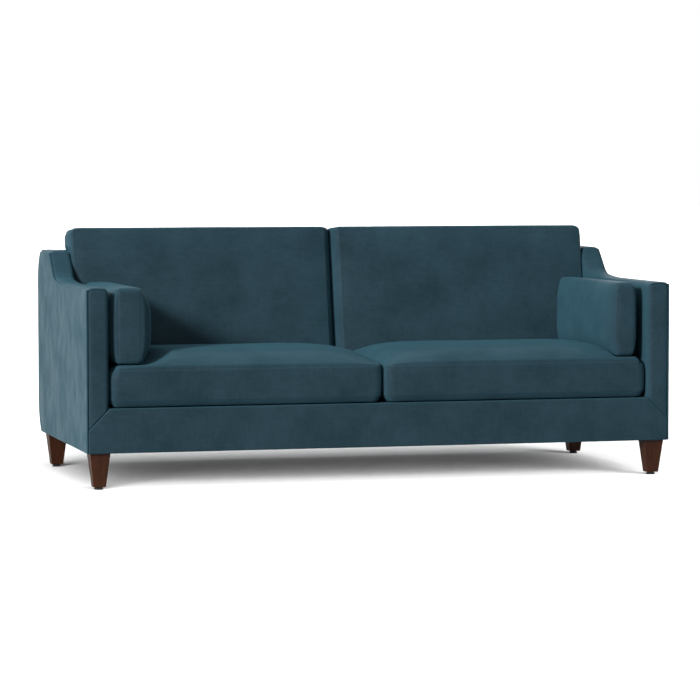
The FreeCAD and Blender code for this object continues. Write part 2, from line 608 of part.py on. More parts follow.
def leg_pieces():
    blocks = []
    plates = []
    bolts = []
    screws = []
    for corner, side, y_middle in CORNERS:
        x_middle = f"{side} * ({HALF} - leg_inset_side)"
        axis = (x_middle, y_middle)
        hole_bottom = "leg_top - bolt_depth - tool_overrun"
        hole_length = f"rail_bottom + tool_overrun - ({hole_bottom})"
        bolt_hole = rod(f"{corner}_bolt_hole", f"bolt_diameter + {FIT}", hole_length,
                        (*axis, hole_bottom), Vector(0, 0, 1))
        screw_places = [(f"{x_middle} + {across} * screw_offset", f"{y_middle} + {along} * screw_offset")
                        for across, along in PLATE_OFFSETS]
        screw_holes = [screw(f"{corner}_screw_hole_{number}", *place, FIT)
                       for number, place in enumerate(screw_places, start=1)]
        screws += [screw(f"{corner}_screw_{number}", *place, "0")
                   for number, place in enumerate(screw_places, start=1)]

        outer_x = f"{side} * ({POST_OUTSIDE})"
        inner_x = f"{side} * ({POST_OUTSIDE} - block_size)"
        x_span = (inner_x, outer_x) if side > 0 else (outer_x, inner_x)
        y_span = (POST_FRONT, f"{POST_FRONT} + block_size")
        if corner.startswith("rear"):
            y_span = (f"{TIMBER_REAR} - block_size", TIMBER_REAR)
        timber = block(f"{corner}_block", x_span, y_span, ("block_bottom", "rail_bottom"))
        blocks.append(cut(f"{corner}_block_drilled", timber, [bolt_hole] + screw_holes))
        flat = square_plan(f"{corner}_plate", *axis, "plate_width", ("leg_top", "block_bottom"))
        plates.append(cut(f"{corner}_plate_drilled", flat, [bolt_hole] + screw_holes))
        bolts.append(rod(f"{corner}_bolt", "bolt_diameter", "bolt_depth + bolt_reach",
                         (*axis, "leg_top - bolt_depth"), Vector(0, 0, 1)))

        taper = doc.addObject("Part::Wedge", f"{corner}_taper")
        bind(taper, "Ymin", "0")
        bind(taper, "Ymax", "leg_top - glide_height")
        for low, high, width in (("Xmin", "Xmax", "leg_foot_width"), ("Zmin", "Zmax", "leg_foot_width"),
                                 ("X2min", "X2max", "leg_top_width"), ("Z2min", "Z2max", "leg_top_width")):
            bind(taper, low, f"-{width} / 2")
            bind(taper, high, f"{width} / 2")
        taper.Placement.Rotation = FreeCAD.Rotation(Vector(1, 0, 0), 90)
        bind(taper, "Placement.Base.x", x_middle)
        bind(taper, "Placement.Base.y", f"{y_middle} - overall_depth / 2")
        bind(taper, "Placement.Base.z", "glide_height")
        doc.recompute()
        eased = doc.addObject("Part::Fillet", f"{corner}_eased")
        eased.Base = taper
        edge_radius = value("leg_edge")
        eased.Edges = [(number, edge_radius, edge_radius)
                       for number, edge in enumerate(taper.Shape.Edges, start=1)
                       if edge.BoundBox.ZLength > edge_radius]
        nail_hole = rod(f"{corner}_nail_hole", f"nail_diameter + {FIT}", f"nail_length + {FIT}",
                        (*axis, "glide_height"), Vector(0, 0, 1))
        keep(cut(f"{corner}_leg_drilled", eased, [bolt_hole, nail_hole]), f"{corner}_leg")
        keep(glide(f"{corner}_turned_glide", *axis), f"{corner}_glide")
    keep(group("block_group", blocks), "corner_blocks")
    keep(group("plate_group", plates), "leg_plates")
    keep(group("bolt_group", bolts), "leg_bolts")
    keep(group("screw_group", screws), "plate_screws")


leg_pieces()


# Seat support: sinuous springs clipped to the front and back rails, a deck pad, and a dust cover below

SPRING_LEVEL = "rail_top + clip_height / 2"


def spring_shape(x_middle):
    """One spring wire: cross bars joined by half turns, each of two quarter arcs."""
    first = value(f"{POST_FRONT} + rail_thickness / 2")
    last = value(f"{TIMBER_REAR} - rail_thickness / 2")
    bars = int(value("spring_bars"))
    pitch = (last - first) / (bars - 1)
    turn = pitch / 2
    reach = value("spring_half_width") - turn
    level = value(SPRING_LEVEL)
    edges = []
    for bar in range(bars):
        side = 1 if bar % 2 == 0 else -1
        depth = first + bar * pitch
        start = Vector(x_middle - side * reach, depth, level)
        end = Vector(x_middle + side * reach, depth, level)
        edges.append(Part.LineSegment(start, end).toShape())
        if bar == bars - 1:
            continue
        centre = end + Vector(0, turn, 0)
        diagonal = turn * math.sqrt(0.5)
        outermost = centre + Vector(side * turn, 0, 0)
        edges.append(Part.Arc(end, centre + Vector(side * diagonal, -diagonal, 0), outermost).toShape())
        edges.append(Part.Arc(outermost, centre + Vector(side * diagonal, diagonal, 0),
                              centre + Vector(0, turn, 0)).toShape())
    path = Part.Wire(edges)
    start = edges[0].Vertexes[0].Point
    section = Part.Wire(Part.makeCircle(value("spring_wire") / 2, start, Vector(1, 0, 0)))
    return path.makePipeShell([section], True, False)


def seat_support():
    count = int(value("spring_count"))
    spacing = 2 * value(ARM_INSIDE) / count
    middles = [(number - (count - 1) / 2) * spacing for number in range(count)]
    keep(solid_feature("spring_group", Part.makeCompound([spring_shape(middle) for middle in middles])),
         "seat_springs")

    clips = []
    clip_depths = (f"{POST_FRONT} + rail_thickness / 2", f"{TIMBER_REAR} - rail_thickness / 2")
    for number in range(count):
        x_middle = f"(({number}) - (spring_count - 1) / 2) * 2 * ({ARM_INSIDE}) / spring_count"
        for row, depth in enumerate(clip_depths):
            name = f"clip_{row}_{number}"
            body = block(f"{name}_body", (f"{x_middle} - clip_width / 2", f"{x_middle} + clip_width / 2"),
                         (f"{depth} - clip_depth / 2", f"{depth} + clip_depth / 2"),
                         ("rail_top", "rail_top + clip_height"))
            hole = rod(f"{name}_hole", f"spring_wire + {FIT}", "clip_width * 2",
                       (f"{x_middle} - clip_width", depth, SPRING_LEVEL), Vector(1, 0, 0))
            clips.append(cut(name, body, [hole]))
    keep(group("clip_group", clips), "spring_clips")

    inside = (f"-({ARM_INSIDE} - {FIT})", f"{ARM_INSIDE} - {FIT}")
    pad = block("deck_padding", inside, (POST_FRONT, f"{TIMBER_REAR} - rail_thickness - {FIT}"),
                ("deck_height - deck_pad_thickness", "deck_height"))
    keep(pad, "deck_pad")

    cloth = block("dust_cloth", (f"-({POST_OUTSIDE})", POST_OUTSIDE), (POST_FRONT, TIMBER_REAR),
                  ("base_height", "base_height + cloth_thickness"))
    openings = [square_plan(f"{corner}_opening", f"{side} * ({HALF} - leg_inset_side)", y_middle,
                            "(leg_top_width + 2 * tool_overrun)", ("0", "block_bottom"))
                for corner, side, y_middle in CORNERS]
    keep(cut("dust_cloth_cut", cloth, openings), "dust_cover")


seat_support()


# Back: webbing straps up the raked frame, a padded inside back that wraps over the top, a bowed outside back

def back_upholstery():
    straps = []
    foot = "lower_rail_bottom"
    lean = FreeCAD.Rotation(Vector(1, 0, 0), -value("back_rake"))
    for number in range(int(value("web_count"))):
        strap = doc.addObject("Part::Box", f"strap_{number}")
        bind(strap, "Length", "web_width")
        bind(strap, "Width", "web_thickness")
        bind(strap, "Height", f"(top_rail_bottom + back_rail_height - {foot}) / cos(back_rake * 1 deg)")
        strap.Placement.Rotation = lean
        middle = f"({number} - (web_count - 1) / 2) * 2 * ({ARM_INSIDE}) / web_count"
        bind(strap, "Placement.Base.x", f"{middle} - web_width / 2")
        bind(strap, "Placement.Base.y", f"{TIMBER_PLANE} + ({foot} - deck_height) * {LEAN}"
                                        f" - web_setback - overall_depth / 2")
        bind(strap, "Placement.Base.z", foot)
        straps.append(strap)
    keep(group("strap_group", straps), "back_webbing")

    half_width = f"({ARM_INSIDE} - {FIT})"
    pad_foot = f"deck_height + {FIT}"
    under_top = f"arm_rear_height - arm_pad + {FIT}"
    lining = "back_plane_depth + back_pad"
    points = [("back_plane_depth", pad_foot),
              (f"back_plane_depth + (arm_rear_height - deck_height) * {LEAN}", "arm_rear_height"),
              (f"rear_plane - {FIT}", "arm_rear_height"), (f"rear_plane - {FIT}", under_top),
              (f"{lining} + ({under_top} - deck_height) * {LEAN}", under_top), (lining, pad_foot)]
    sketch = polygon("inside_back_outline", points)
    place_sketch(sketch, f"-{half_width}")
    padding = extruded("inside_back_padding", sketch, f"2 * {half_width}")
    doc.recompute()
    rounded = doc.addObject("Part::Fillet", "inside_back_rounded")
    rounded.Base = padding
    soft = value("soft_edge")
    front_edge_depth = front_y + value(f"back_plane_depth + (arm_rear_height - deck_height) * {LEAN}")
    rounded.Edges = [(number, soft, soft) for number, edge in enumerate(padding.Shape.Edges, start=1)
                     if edge.BoundBox.XLength > value("overall_width") / 2
                     and edge.BoundBox.ZMin > value("arm_rear_height") - 0.01
                     and abs(edge.BoundBox.YMin - front_edge_depth) < 0.01]
    keep(rounded, "inside_back_cover")

    back_half = f"({PANEL_INSIDE} - {FIT})"
    bow = extruded("outside_back_bow", outline, f"2 * {back_half}", x_text=f"-{back_half}")
    behind = block("outside_back_depth", (f"-({HALF})", HALF), ("rear_plane", "overall_depth + tool_overrun"),
                   ("0", "arm_rear_height + tool_overrun"))
    keep(common("outside_back", bow, behind), "outside_back_panel")


back_upholstery()


# Loose cushions and pillows: crowned covers with drawn-in sides over a fill of the same form

CROWN_STEPS = 6
EDGE_STEPS = 2


def ring(bounds, level, corner, draws):
    """One level of a cushion: a rounded rectangle whose sides pull in between the corners."""
    left, right, low, high = bounds
    draw_low, draw_right, draw_high, draw_left = draws
    middle_x = (left + right) / 2
    middle_y = (low + high) / 2
    nip = corner * (1 - math.sqrt(0.5))

    def point(x, y):
        return Vector(x, y, level)

    def run(first, middle, last):
        straight = (middle - (first + last) / 2).Length < 0.001
        line = Part.LineSegment(first, last) if straight else Part.Arc(first, middle, last)
        return line.toShape()

    corners = [
        (point(left + corner, low), point(middle_x, low + draw_low), point(right - corner, low),
         point(right - nip, low + nip)),
        (point(right, low + corner), point(right - draw_right, middle_y), point(right, high - corner),
         point(right - nip, high - nip)),
        (point(right - corner, high), point(middle_x, high - draw_high), point(left + corner, high),
         point(left + nip, high - nip)),
        (point(left, high - corner), point(left + draw_left, middle_y), point(left, low + corner),
         point(left + nip, low + nip)),
    ]
    edges = []
    for number, (first, middle, last, bend) in enumerate(corners):
        following = corners[(number + 1) % 4][0]
        edges.append(run(first, middle, last))
        edges.append(Part.Arc(last, bend, following).toShape())
    return Part.Wire(edges)


def quarter(steps, rise, inset):
    """A quarter ellipse from an edge to a crown: pairs of height and inset."""
    angles = [math.radians(90 * step / steps) for step in range(steps + 1)]
    return [(rise * math.sin(angle), inset * (1 - math.cos(angle))) for angle in angles]


def seat_levels():
    """Seat cushion, right-hand: levels with their bounds. The outer end is pressed flat under the pillow."""
    left = value("seat_gap")
    right = value(f"{ARM_INSIDE} - seat_gap")
    front = value("seat_front")
    bottom = value("deck_height + rest_gap")
    lower = value("seat_lower_seam")
    upper = value("seat_upper_seam")
    crown_inset = value("seat_crown_inset")
    dent = value("seat_dent")

    def rear(level):
        return value(SEAT_REAR_AT_DECK) + (level - value("deck_height")) * math.tan(rake)

    levels = []
    for drop, inset in reversed(quarter(EDGE_STEPS, lower - bottom, lower - bottom)):
        level = lower - drop
        levels.append((level, (left + inset, right - inset, front + inset, rear(level) - inset)))
    for rise, inset in quarter(CROWN_STEPS, value("seat_crown") - upper, crown_inset):
        level = upper + rise
        outer = inset if rise == 0 else dent + inset * (1 - dent / crown_inset)
        levels.append((level, (left + inset, right - outer, front + inset, rear(upper) - inset)))
    return levels


def back_levels():
    """Back cushion, right-hand, lying on its rear face: levels towards the front."""
    left = value("seat_gap")
    right = value(f"{ARM_INSIDE} - seat_gap")
    length = value("back_cushion_length")
    seam = value("back_cushion_seam")
    rear_edge = value("cushion_corner / 2")
    levels = []
    for drop, inset in reversed(quarter(EDGE_STEPS, rear_edge, rear_edge)):
        levels.append((rear_edge - drop, (left + inset, right - inset, inset, length - inset)))
    for rise, inset in quarter(CROWN_STEPS, value("back_cushion_depth") - seam, value("back_crown_inset")):
        levels.append((seam + rise, (left + inset, right - inset, inset, length - inset)))
    return levels


def pillow_levels():
    """Arm pillow, lying on its side: levels from one crown to the other."""
    front = value("pillow_front")
    rear = front + value("pillow_length")
    low = value("pillow_bottom")
    high = low + value("pillow_height")
    half_boxing = value("pillow_boxing / 2")
    crown = quarter(CROWN_STEPS, value("(pillow_depth - pillow_boxing) / 2"), value("pillow_crown_inset"))
    levels = []
    for rise, inset in reversed(crown):
        levels.append((-half_boxing - rise, (front + inset, rear - inset, low + inset, high - inset)))
    for rise, inset in crown:
        levels.append((half_boxing + rise, (front + inset, rear - inset, low + inset, high - inset)))
    return levels


def padded_solid(levels, corner, draws, skin):
    """A closed form through the levels, drawn in on every side by the skin."""
    lowest = levels[0][0]
    highest = levels[-1][0]
    middle = (lowest + highest) / 2
    shrink = (highest - lowest - 2 * skin) / (highest - lowest)
    rings = []
    for level, (left, right, low, high) in levels:
        bounds = (left + skin, right - skin, low + skin, high - skin)
        rings.append(ring(bounds, middle + (level - middle) * shrink, corner - skin, draws))
    return Part.makeLoft(rings, True, True)


def cushion(label, fill_label, levels, corner, draws, placement):
    """A cushion cover with a hollow, and the fill that lies in the hollow."""
    skin = value("cover_thickness")
    outside = padded_solid(levels, corner, draws, 0)
    hollow = padded_solid(levels, corner, draws, skin)
    fill = padded_solid(levels, corner, draws, skin + value("fill_gap"))
    keep_pair(solid_feature(f"{label}_form", outside.cut(hollow), placement), label)
    keep_pair(solid_feature(f"{fill_label}_form", fill, placement), fill_label)


def loose_cushions():
    corner = value("cushion_corner")
    draw = value("side_draw")
    upright = FreeCAD.Placement(Vector(0, front_y, 0), FreeCAD.Rotation())
    cushion("seat_cushion_cover", "seat_cushion_core", seat_levels(), corner, (draw, draw, 0, draw), upright)

    foot = Vector(0, front_y + value(BACK_CUSHION_FOOT), value("deck_height + rest_gap"))
    leaning = FreeCAD.Placement(foot, FreeCAD.Rotation(Vector(1, 0, 0), 90 - value("back_rake")))
    cushion("back_cushion_cover", "back_cushion_fill", back_levels(), corner, (0, draw, draw, draw), leaning)

    standing = FreeCAD.Placement(Vector(value("pillow_middle"), front_y, 0),
                                 FreeCAD.Rotation(Vector(1, 1, 1), 120))
    cushion("arm_pillow_cover", "arm_pillow_fill", pillow_levels(), value("pillow_corner"),
            (draw, draw, draw, draw), standing)


loose_cushions()


# Zips: a tape with its teeth on the hidden boxing of each seat and back cushion, and a slider that runs on it

ZIP_START = f"({ARM_INSIDE} - zip_length) / 2"


def zip_box(name, placement, size, offset):
    """A box in a zip's own frame: along the zip, across it, and away from the cushion."""
    box = doc.addObject("Part::Box", name)
    for side, text in zip(("Length", "Width", "Height"), size):
        bind(box, side, text)
    shift = Vector(*[value(text) for text in offset])
    box.Placement = placement.multiply(FreeCAD.Placement(shift, FreeCAD.Rotation()))
    return box


def zip_pair(label, placement):
    """The zip and slider of a right-hand cushion, and their left-hand twins."""
    tape = zip_box(f"{label}_tape", placement, ("zip_length", "zip_tape_width", "zip_tape_thickness"),
                   ("0", "-zip_tape_width / 2", "0"))
    teeth = zip_box(f"{label}_teeth", placement, ("zip_length", "zip_chain_width", "zip_chain_height"),
                    ("0", "-zip_chain_width / 2", "zip_tape_thickness"))
    chain = doc.addObject("Part::Fuse", f"{label}_chain")
    chain.Base = tape
    chain.Tool = teeth
    keep_pair(chain, f"{label}_zip")

    lift = "zip_tape_thickness + slider_clearance"
    body = zip_box(f"{label}_slider_body", placement, ("slider_length", "slider_width", "slider_height"),
                   ("0", "-slider_width / 2", lift))
    channel = zip_box(f"{label}_slider_channel", placement,
                      ("slider_length + 2 * tool_overrun", "zip_chain_width + 2 * slider_clearance",
                       "zip_chain_height"),
                      ("-tool_overrun", "-zip_chain_width / 2 - slider_clearance", lift))
    runner = cut(f"{label}_slider_runner", body, [channel])
    tab = zip_box(f"{label}_slider_tab", placement, ("pull_length", "pull_width", "pull_thickness"),
                  ("slider_length / 2", "-pull_width / 2", f"{lift} + slider_height"))
    slider = doc.addObject("Part::Fuse", f"{label}_slider_whole")
    slider.Base = runner
    slider.Tool = tab
    keep_pair(slider, f"{label}_zip_slider")


def zips():
    lean = value("back_rake")
    height = value("zip_seat_height")
    rear = value(f"{SEAT_REAR_AT_DECK} + (zip_seat_height - deck_height) * {LEAN}")
    seat_place = FreeCAD.Placement(Vector(value(ZIP_START), front_y + rear, height),
                                   FreeCAD.Rotation(Vector(1, 0, 0), -90 - lean))
    zip_pair("seat_cushion", seat_place)

    foot = Vector(value(ZIP_START), front_y + value(BACK_CUSHION_FOOT), value("deck_height + rest_gap"))
    towards_front = Vector(0, -math.cos(rake), math.sin(rake)) * value("zip_back_offset")
    back_place = FreeCAD.Placement(foot + towards_front, FreeCAD.Rotation(Vector(1, 0, 0), 180 - lean))
    zip_pair("back_cushion", back_place)


zips()


# Checks on every object, then one file for each piece

doc.recompute()
for thing in doc.Objects:
    if "Invalid" in thing.State or "Error" in thing.State:
        raise RuntimeError(f"{thing.Name} failed to recompute: {thing.State}")
os.makedirs("parts", exist_ok=True)
for part in parts:
    shape = part.Shape
    if shape.isNull() or not shape.isValid() or shape.Volume <= 0:
        raise RuntimeError(f"{part.Label} has no valid solid")
for part in parts:
    part.Shape.exportStep(os.path.join("parts", f"{part.Label}.step"))
print(len(parts), "pieces written")
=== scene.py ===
"""A two-seat sofa in deep teal velvet with slim square arms, dressed around its CAD frame.

Sizes are in millimetres, and depths are counted from the sofa's front plane, until a mesh is made from them.
"""

import math

import bmesh
import bpy
import numpy as np
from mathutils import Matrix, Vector, noise


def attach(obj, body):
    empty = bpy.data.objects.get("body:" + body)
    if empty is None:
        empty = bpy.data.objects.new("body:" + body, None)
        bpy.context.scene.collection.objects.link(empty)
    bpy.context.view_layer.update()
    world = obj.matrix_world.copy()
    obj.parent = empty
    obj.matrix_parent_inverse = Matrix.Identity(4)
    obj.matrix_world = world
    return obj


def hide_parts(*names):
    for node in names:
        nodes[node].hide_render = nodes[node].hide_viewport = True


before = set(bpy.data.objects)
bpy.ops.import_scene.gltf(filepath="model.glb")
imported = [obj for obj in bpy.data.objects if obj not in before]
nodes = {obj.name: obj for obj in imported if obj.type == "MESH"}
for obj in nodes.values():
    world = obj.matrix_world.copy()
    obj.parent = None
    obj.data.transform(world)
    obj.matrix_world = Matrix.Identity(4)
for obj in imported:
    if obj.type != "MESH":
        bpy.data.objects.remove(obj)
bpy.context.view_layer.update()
SIDES = {"left": -1, "right": 1}


# Timber frame: seat rails, posts, back rails and corner blocks of planed poplar, glued at the joints.
# It is left bare under the upholstery, so the eye sees pale straight grain along each board.

def linear(colour):
    """An sRGB hex colour as linear red, green and blue, with full alpha."""
    parts = [int(colour[place:place + 2], 16) / 255 for place in (1, 3, 5)]
    curved = [part / 12.92 if part <= 0.04045 else ((part + 0.055) / 1.055) ** 2.4 for part in parts]
    return curved + [1.0]


def add_node(tree, kind, inputs=None, output=0, **settings):
    """Adds one node and gives one of its outputs. An input is a plain value or another node's output, and a
    setting is the node's own."""
    made = tree.nodes.new(kind)
    for name, value in settings.items():
        setattr(made, name, value)
    for key, value in (inputs or {}).items():
        if isinstance(value, bpy.types.NodeSocket):
            tree.links.new(value, made.inputs[key])
        else:
            made.inputs[key].default_value = value
    return made.outputs[output] if made.outputs else None


def new_material(name, **shader_values):
    """A material with its shader's even values set, and the place on the piece that its patterns read."""
    material = bpy.data.materials.new(name)
    material.use_nodes = True
    tree = material.node_tree
    shader = tree.nodes["Principled BSDF"]
    for socket, value in shader_values.items():
        shader.inputs[socket.replace("_", " ").title().replace("Ior", "IOR")].default_value = value
    place = add_node(tree, "ShaderNodeTexCoord", output="Object")
    return material, tree, shader, place


def show_pattern(tree, shader, pattern, low, high, heights=None, strength=0, depth=0):
    """Shows a pattern as two colours on a shader, and heights as relief whose depth is in metres."""
    colour = add_node(tree, "ShaderNodeMix", {0: pattern, 6: linear(low), 7: linear(high)}, 2,
                      data_type="RGBA")
    tree.links.new(colour, shader.inputs["Base Color"])
    if heights is not None:
        relief = add_node(tree, "ShaderNodeBump",
                          {"Height": heights, "Strength": strength, "Distance": depth})
        tree.links.new(relief, shader.inputs["Normal"])


def dress(material, *names):
    """Gives CAD pieces that keep their own shape a material."""
    for name in names:
        slots = nodes[name].data.materials
        slots.clear()
        slots.append(material)


GROWTH_LINE = 0.005
GRAIN_STRETCH = 16


def sawn_wood(name, along, pale, dark, **shader_values):
    """Wood whose growth lines, some 5 mm apart, run along one axis and wander a little."""
    material, tree, shader, place = new_material(name, **shader_values)
    stretch = [1 / GROWTH_LINE] * 3
    stretch["xyz".index(along)] /= GRAIN_STRETCH
    drawn = add_node(tree, "ShaderNodeMapping", {"Vector": place, "Scale": stretch})
    lines = add_node(tree, "ShaderNodeTexNoise",
                     {"Vector": drawn, "Scale": 1.0, "Detail": 6.0, "Roughness": 0.6, "Distortion": 0.7})
    broad = add_node(tree, "ShaderNodeTexNoise", {"Vector": drawn, "Scale": 0.22, "Detail": 2.0})
    both = add_node(tree, "ShaderNodeMath", {0: lines, 1: broad}, operation="MULTIPLY")
    spread = add_node(tree, "ShaderNodeMapRange", {"Value": both, "From Min": 0.14, "From Max": 0.42})
    show_pattern(tree, shader, spread, pale, dark, lines, strength=0.25, depth=0.0004)
    return material


for along, boards in {
    "x": ["front_seat_rail", "back_seat_rail", "back_top_rail", "back_lower_rail"],
    "y": ["side_seat_rail_left", "side_seat_rail_right", "centre_seat_rail", "corner_blocks",
          "arm_top_rail_left", "arm_top_rail_right"],
    "z": ["arm_front_post_left", "arm_front_post_right", "back_post_left", "back_post_right",
          "back_centre_upright"],
}.items():
    dress(sawn_wood(f"planed_poplar_{along}", along, "#D8BF95", "#AE8A5B", roughness=0.62), *boards)


# Dowels: turned beech pins, pressed and glued into the rail ends.
# Beech is close and pinkish, with short darker flecks along the pin.

dress(sawn_wood("turned_beech", "x", "#DCC19A", "#BC9468", roughness=0.55), "rail_dowels")


# Seat springs, their clips, and the leg plates with their bolts and screws: spring wire and plated sheet.
# The wire is dark and oily. The plated pieces are brighter, with the faint patches of a zinc bath.

def plated_steel(name, colour, patch_colour, patch, roughness):
    """Metal with patches of a given size in metres, which also change how sharp its gloss is."""
    material, tree, shader, place = new_material(name, metallic=1.0)
    patches = add_node(tree, "ShaderNodeTexNoise", {"Vector": place, "Scale": 1 / patch, "Detail": 3.0})
    show_pattern(tree, shader, patches, colour, patch_colour)
    gloss = add_node(tree, "ShaderNodeMapRange",
                     {"Value": patches, "To Min": roughness - 0.08, "To Max": roughness + 0.1})
    tree.links.new(gloss, shader.inputs["Roughness"])
    return material


dress(plated_steel("drawn_spring_wire", "#5B5A58", "#42403D", patch=0.02, roughness=0.38),
      "seat_springs", "spring_clips")
dress(plated_steel("zinc_plated_steel", "#A9ABAC", "#8B8E90", patch=0.012, roughness=0.32),
      "leg_plates", "leg_bolts", "plate_screws")


# Back webbing: black elastic straps, 50 mm wide, stretched up the back frame and stapled to its rails.
# Ribs 3 mm apart run across each strap.

# A wave texture of scale 1 repeats over this length in metres
WAVE_LENGTH = 0.314


def ribbed_web(name, rib_colour, gap_colour, rib):
    """Elastic web with ribs across it, a distance apart in metres."""
    material, tree, shader, place = new_material(name, roughness=0.8, specular_ior_level=0.25)
    ribs = add_node(tree, "ShaderNodeTexWave",
                    {"Vector": place, "Scale": WAVE_LENGTH / rib, "Distortion": 0.4, "Detail": 2.0}, 1,
                    bands_direction="Z")
    show_pattern(tree, shader, ribs, gap_colour, rib_colour, ribs, strength=0.5, depth=0.0005)
    return material


dress(ribbed_web("elastic_webbing", "#34353A", "#17181A", rib=0.003), "back_webbing")


# Legs: square tapered hardwood, stained dark walnut and finished with a satin lacquer.
# The stain lets the grain show along the leg, and the lacquer gives a soft broad gloss.

LEGS = ["front_left", "front_right", "rear_left", "rear_right"]
walnut = sawn_wood("walnut_stained_hardwood", "z", "#472615", "#2B150B", roughness=0.5,
                   specular_ior_level=0.15, coat_weight=0.02, coat_roughness=0.35)
dress(walnut, *[f"{corner}_leg" for corner in LEGS])


# Glides: moulded black plastic buttons, nailed under the legs.
# The moulding has a fine even grain and a dull gloss.

def moulded_plastic(name, colour, grain):
    """Plastic with an even moulded grain of a size in metres."""
    material, tree, shader, place = new_material(name, roughness=0.5, ior=1.5)
    grit = add_node(tree, "ShaderNodeTexNoise", {"Vector": place, "Scale": 1 / grain, "Detail": 2.0})
    show_pattern(tree, shader, grit, colour, "#1A1A1A", grit, strength=0.3, depth=0.0002)
    return material


dress(moulded_plastic("moulded_nylon", "#0C0C0C", grain=0.0008), *[f"{corner}_glide" for corner in LEGS])


# Outside arm panels: board and thin wadding under velvet, one for each side of the sofa.
# Each is pulled over its board's edge and meets the arm cover, outside back and rail cover in a sewn line.

FRONT_PLANE = -504
PANEL_SEAM = 1061
HALF_WIDTH = 1067
BASE = 128
ARM_HEIGHT = 699
REAR_HEIGHT = 806
PATCH = 0.14
# Real pile is about 0.3 mm across and too fine to show, so it is drawn at 1.6 mm.
PILE = 0.0016
# Colours of the pile laid one way and the other: its own tones seen straight on, then lighter copies for a
# painted sheen at a grazing angle
PILE_AND_PAINTED_SHEEN_TONES = (("#212F38", "#344852"), ("#2E4955", "#40616F"))


def pile_velvet(name, ior, roughness, mark, level_share, mark_share, mark_depth, gloss_range):
    """Cut-pile velvet: deep teal seen straight on, with a painted sheen that mixes its colour towards lighter
    tones at a grazing angle.
    The pile lies in soft patches, and in brush marks whose width, length and depth are in metres. A share of
    the marks lies level, and the rest upright. The gloss is sharper where the pile is laid flat."""
    material, tree, shader, place = new_material(
        name, ior=ior, sheen_weight=0.25, sheen_roughness=0.8, sheen_tint=linear("#4C8798"))
    patches = add_node(tree, "ShaderNodeTexNoise",
                       {"Vector": place, "Scale": 1 / PATCH, "Detail": 4.0, "Roughness": 0.6})
    width, length = mark
    marks = []
    for scale in ((1 / width, 1 / width, 1 / length), (1 / length, 1 / length, 1 / width)):
        drawn_out = add_node(tree, "ShaderNodeMapping", {"Vector": place, "Scale": scale})
        marks.append(add_node(tree, "ShaderNodeTexNoise", {
            "Vector": drawn_out, "Scale": 1.0, "Detail": 3.0, "Distortion": 0.3}))
    brushed = add_node(tree, "ShaderNodeMix", {0: level_share, 2: marks[0], 3: marks[1]})
    pile = add_node(tree, "ShaderNodeTexNoise", {"Vector": place, "Scale": 1 / PILE, "Detail": 2.0})
    fine = add_node(tree, "ShaderNodeBump", {"Height": pile, "Strength": 0.3, "Distance": 0.0004})
    lie = add_node(tree, "ShaderNodeMix", {0: mark_share, 2: patches, 3: brushed})
    marked = add_node(tree, "ShaderNodeBump",
                      {"Height": lie, "Strength": 0.5, "Distance": mark_depth, "Normal": fine})
    tree.links.new(marked, shader.inputs["Normal"])
    nap = add_node(tree, "ShaderNodeMapRange", {"Value": lie, "From Min": 0.28, "From Max": 0.72})
    gloss = add_node(tree, "ShaderNodeMapRange", {
        "Value": nap, "To Min": roughness + gloss_range, "To Max": roughness - gloss_range})
    tree.links.new(gloss, shader.inputs["Roughness"])
    # The pile's own tones, and lighter copies of them for the painted sheen
    straight_on, painted_sheen_tone = [
        add_node(tree, "ShaderNodeMix", {0: nap, 6: linear(low), 7: linear(high)}, 2, data_type="RGBA")
        for low, high in PILE_AND_PAINTED_SHEEN_TONES]
    # Painted sheen: the colour turns to the lighter tones where the surface is seen at a grazing angle
    painted_sheen_share = add_node(tree, "ShaderNodeLayerWeight", {"Blend": 0.77, "Normal": marked}, "Facing")
    colour = add_node(tree, "ShaderNodeMix", {0: painted_sheen_share, 6: straight_on, 7: painted_sheen_tone}, 2, data_type="RGBA")
    tree.links.new(colour, shader.inputs["Base Color"])
    return material


velvet = pile_velvet("cut_pile_velvet", ior=1.1, roughness=0.4, mark=(0.006, 0.04), level_share=0.5,
                     mark_share=0.4, mark_depth=0.0006, gloss_range=0.05)
brushed_velvet = pile_velvet("brushed_cut_pile_velvet", ior=1.08, roughness=0.39, mark=(0.06, 0.08),
                             level_share=0.1, mark_share=0.35, mark_depth=0.012, gloss_range=0.12)


def bowed(first, last, radius, step):
    """Points of the side outline along an arc. A positive radius bows it to the left of the way it runs."""
    first = np.array(first, float)
    last = np.array(last, float)
    chord = last - first
    length = math.hypot(*chord)
    left = np.array((-chord[1], chord[0])) / length
    rise = math.sqrt(radius ** 2 - length ** 2 / 4)
    centre = (first + last) / 2 - left * math.copysign(rise, radius)
    start = math.atan2(first[1] - centre[1], first[0] - centre[0])
    sweep = 2 * math.asin(length / 2 / radius)
    angles = start - sweep * np.linspace(0, 1, math.ceil(abs(sweep * radius) / step) + 1)
    return centre + abs(radius) * np.stack((np.cos(angles), np.sin(angles)), 1)


def arm_top():
    """The arm's top line from the front to the back: level, a slow rise, a steep rise, and level again."""
    slow = math.radians(7.5)
    steep = math.radians(45)
    slow_radius, throat, crest = 1500, 80, 16
    start = (440, ARM_HEIGHT)
    slow_end = (start[0] + slow_radius * math.sin(slow), ARM_HEIGHT + slow_radius * (1 - math.cos(slow)))
    throat_end = (slow_end[0] + throat * (math.sin(steep) - math.sin(slow)),
                  slow_end[1] + throat * (math.cos(slow) - math.cos(steep)))
    rise_height = REAR_HEIGHT - crest * (1 - math.cos(steep))
    rise_end = (throat_end[0] + (rise_height - throat_end[1]) / math.tan(steep), rise_height)
    crest_end = (rise_end[0] + crest * math.sin(steep), REAR_HEIGHT)
    return np.concatenate((
        [(-10, ARM_HEIGHT)], bowed(start, slow_end, -slow_radius, 2), bowed(slow_end, throat_end, -throat, 1),
        bowed(rise_end, crest_end, crest, 0.5), [(BACK_TOP[0], REAR_HEIGHT)]))


